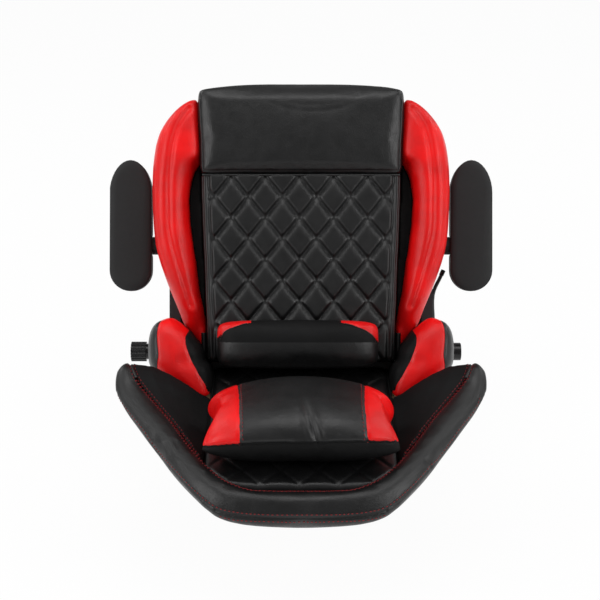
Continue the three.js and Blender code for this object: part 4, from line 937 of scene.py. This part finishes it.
arches = [seen_on(lumbar, seen_pair(arch_pixels, side, lumbar_middle)) for side in (-1, 1)]
for line in arches:
    crease(lumbar, line, depth=0.0015, width=0.0025)
arches = [onto(lumbar, line) for line in arches]
lumbar_shade_border = onto(lumbar, seen_on(lumbar, [(column, lumbar_shade_row) for column in lumbar_shade_columns]))
# Painted shade: the upward-facing top above the row takes the darker matt black leather
painted(lumbar, lambda place: pixel_of(place)[1] < lumbar_shade_row, index=2, borders=(lumbar_shade_border,))
painted(lumbar, lumbar_is_red, index=1, borders=arches)
for word, line in zip(sides, arches):
    line = onto(lumbar, line)
    tube(f"lumbar_piping_{word}", line, radius=0.0009, body="lumbar_pillow", slot="black_leather")

# Loose pillow: red ends, a perimeter seam, a crease in the middle and painted shade on its front face
loose = softened(
    "loose_cushion", "loose_pillow", "loose_pillow", "black_leather", voxel=0.0045, smooth=5, pressure=3,
    cap=0.005, more=(materials["red_leather"], materials["matt_black_leather"])
)
perimeter_pixels = [
    (203, 446.3), (225, 445.5), (262, 443.5), (300, 442.5),
    (340, 442), (380, 441.5), (399, 441),
]
red_seams = {
    "left": [(238.3, 383), (238.6, 395), (239, 415), (239.3, 430), (239.5, 443.5)],
    "right": [(363.8, 382), (364.8, 395), (366, 412), (367.2, 428), (368, 441.5)],
}
thread_lines = {
    "left": [(241.3, 384), (241.8, 400), (242.5, 420), (243.2, 441)],
    "right": [(360.6, 384), (361.6, 400), (362.9, 420), (364.2, 440)],
}
notch_pixels = {
    "left": [(213, 415.5), (217, 409.5), (222, 403), (227, 396)],
    "right": [(392, 412.5), (387, 405), (381, 397), (374, 391)],
}
perimeter = seen_on(loose, perimeter_pixels)
crease(loose, perimeter, depth=0.0026, width=0.0028)
threads = []
borders = [perimeter]
# The waist of each end, drawn in where the fold meets the outline
waist_pixels = {"left": (210, 417), "right": (395, 415)}
waist_draw = 0.006
waist_length = 0.011
waist_depth = 0.035
waist_margin = 0.004
for word, side in sides.items():
    waist = seat_frame.inverted() @ seen_on(loose, [waist_pixels[word], waist_pixels[word]])[0]
    for vertex in loose.data.vertices:
        across, forward, up = seat_frame.inverted() @ vertex.co
        inside = side * (waist.x - across) + waist_margin
        share = math.exp(-(((forward - waist.y) / waist_length) ** 2) - max(0.0, inside / waist_depth) ** 2)
        if share > 0.01:
            vertex.co = seat_frame @ Vector((across - side * waist_draw * share, forward, up))
    fold = seen_on(loose, notch_pixels[word])
    crease(loose, fold, depth=0.004, width=0.009, fade=True)
    seam = seen_on(loose, red_seams[word])
    crease(loose, seam, depth=0.0018, width=0.0025)
    borders.append(seam)
    threads.append(seen_on(loose, thread_lines[word]))
dimple_top = (303, 396)
dimple_foot = (320, 450)
dimple_middle = [(310, 417), (311, 419)]
eased(loose, seen_on(loose, dimple_middle)[0], radius=0.05, times=280)
dimpled(
    loose, dimple_top, dimple_foot, depth=0.0042, width=2.6, lobe=0.002, lobe_place=6.5, lobe_width=3.2
)


def loose_is_red(place):
    x, y = pixel_of(place)
    rows = [[(row, column) for column, row in red_seams[word]] for word in sides]
    outside = x < value_at(rows[0], y) or x > value_at(rows[1], y)
    return outside and y < value_at(perimeter_pixels, x)


def loose_front_in_shade(place):
    x, y = pixel_of(place)
    return y > value_at(perimeter_pixels, x)


borders = [onto(loose, line) for line in borders]
painted(loose, loose_is_red, index=1, borders=borders, reach=0.008)
# Painted shade: the front face below the perimeter seam takes the darker matt black leather
painted(loose, loose_front_in_shade, index=2, borders=borders[:1])
perimeter = onto(loose, perimeter)
tube("loose_pillow_piping", perimeter, radius=0.0013, body="loose_pillow", slot="matt_black_leather")
stitches("loose_pillow_stitching", loose, [onto(loose, line) for line in threads], "loose_pillow")

# Armrests
for word in sides:
    body = f"armrest_{word}"
    softened(
        f"armrest_cushion_{word}", f"armrest_pad_{word}", body, "armrest_grey",
        voxel=0.003, smooth=3,
    )

# Everything rigid keeps its CAD shape
soft_nodes = {"quilted_pad", "head_pad", "rear_cover", "seat_bolster", "seat_pad"}
soft_nodes |= {"lumbar_pillow", "loose_pillow"}
soft_pairs = ("wing", "insert", "hip_bolster", "seat_side_panel", "armrest_pad")
soft_nodes |= {f"{kind}_{word}" for word in sides for kind in soft_pairs}
for node in cad:
    if node not in soft_nodes:
        finish_rigid(node)

# Floor, light and world
floor_mesh = bpy.data.meshes.new("studio_floor")
bm = bmesh.new()
bmesh.ops.create_grid(bm, x_segments=1, y_segments=1, size=9)
bm.to_mesh(floor_mesh)
bm.free()
floor = bpy.data.objects.new("studio_floor", floor_mesh)
scene.collection.objects.link(floor)
floor_finish = Finish("studio_floor", (0.9, 0.9, 0.9), 0.8, 0.2)
floor_mesh.materials.append(floor_finish.material)
floor_white = 0.95  # how much of the seen floor is plain white; the rest takes light and shadow


def whiten(finish, share):
    """Mixes plain white into what the camera, mirrors and glass see."""
    path = finish.add("ShaderNodeLightPath")
    seen = finish.add("ShaderNodeMath", operation="MAXIMUM")
    finish.join(path.outputs["Is Camera Ray"], seen.inputs[0])
    finish.join(path.outputs["Is Glossy Ray"], seen.inputs[1])
    through = finish.add("ShaderNodeMath", operation="MAXIMUM")
    finish.join(seen.outputs[0], through.inputs[0])
    finish.join(path.outputs["Is Transmission Ray"], through.inputs[1])
    amount = finish.add("ShaderNodeMath", operation="MULTIPLY")
    amount.inputs[1].default_value = share
    finish.join(through.outputs[0], amount.inputs[0])
    white = finish.add("ShaderNodeEmission")
    white.inputs["Color"].default_value = (1, 1, 1, 1)
    white.inputs["Strength"].default_value = 1
    mix = finish.add("ShaderNodeMixShader")
    finish.join(amount.outputs[0], mix.inputs[0])
    finish.join(finish.shader.outputs[0], mix.inputs[1])
    finish.join(white.outputs[0], mix.inputs[2])
    output = next(node for node in finish.tree.nodes if node.type == "OUTPUT_MATERIAL")
    finish.join(mix.outputs[0], output.inputs["Surface"])


whiten(floor_finish, floor_white)

world = bpy.data.worlds.new("studio")
world.use_nodes = True
scene.world = world
world.node_tree.nodes["Background"].inputs["Color"].default_value = (1, 1, 1, 1)
world_light = 0.32  # what the world gives the object; the camera sees it white
seen_directly = world.node_tree.nodes.new("ShaderNodeLightPath")
world_strength = world.node_tree.nodes.new("ShaderNodeMath")
world_strength.operation = "MULTIPLY_ADD"
world_strength.inputs[1].default_value = 1 - world_light
world_strength.inputs[2].default_value = world_light
world.node_tree.links.new(seen_directly.outputs["Is Camera Ray"], world_strength.inputs[0])
world.node_tree.links.new(world_strength.outputs[0], world.node_tree.nodes["Background"].inputs["Strength"])


def softbox(name, place, aim, width, height, power):
    data = bpy.data.lights.new(name, "AREA")
    data.shape = "RECTANGLE"
    data.size = width
    data.size_y = height
    data.energy = power
    lamp = bpy.data.objects.new(name, data)
    lamp.location = place
    lamp.rotation_euler = (Vector(aim) - Vector(place)).to_track_quat("-Z", "Y").to_euler()
    scene.collection.objects.link(lamp)


aim = (0, 0, 0.3)
softbox("key_above", (0, 0, 3.0), aim, width=2.4, height=1.3, power=29)
for word, side in sides.items():
    softbox(f"fill_{word}", (side * 2.4, -1.2, 1.7), aim, width=1.1, height=1.6, power=30)
for word, side in sides.items():
    softbox(f"rim_{word}", (side * 2.3, 1.3, 2.0), aim, width=1.3, height=1.3, power=17)
scene.view_settings.view_transform = "Standard"
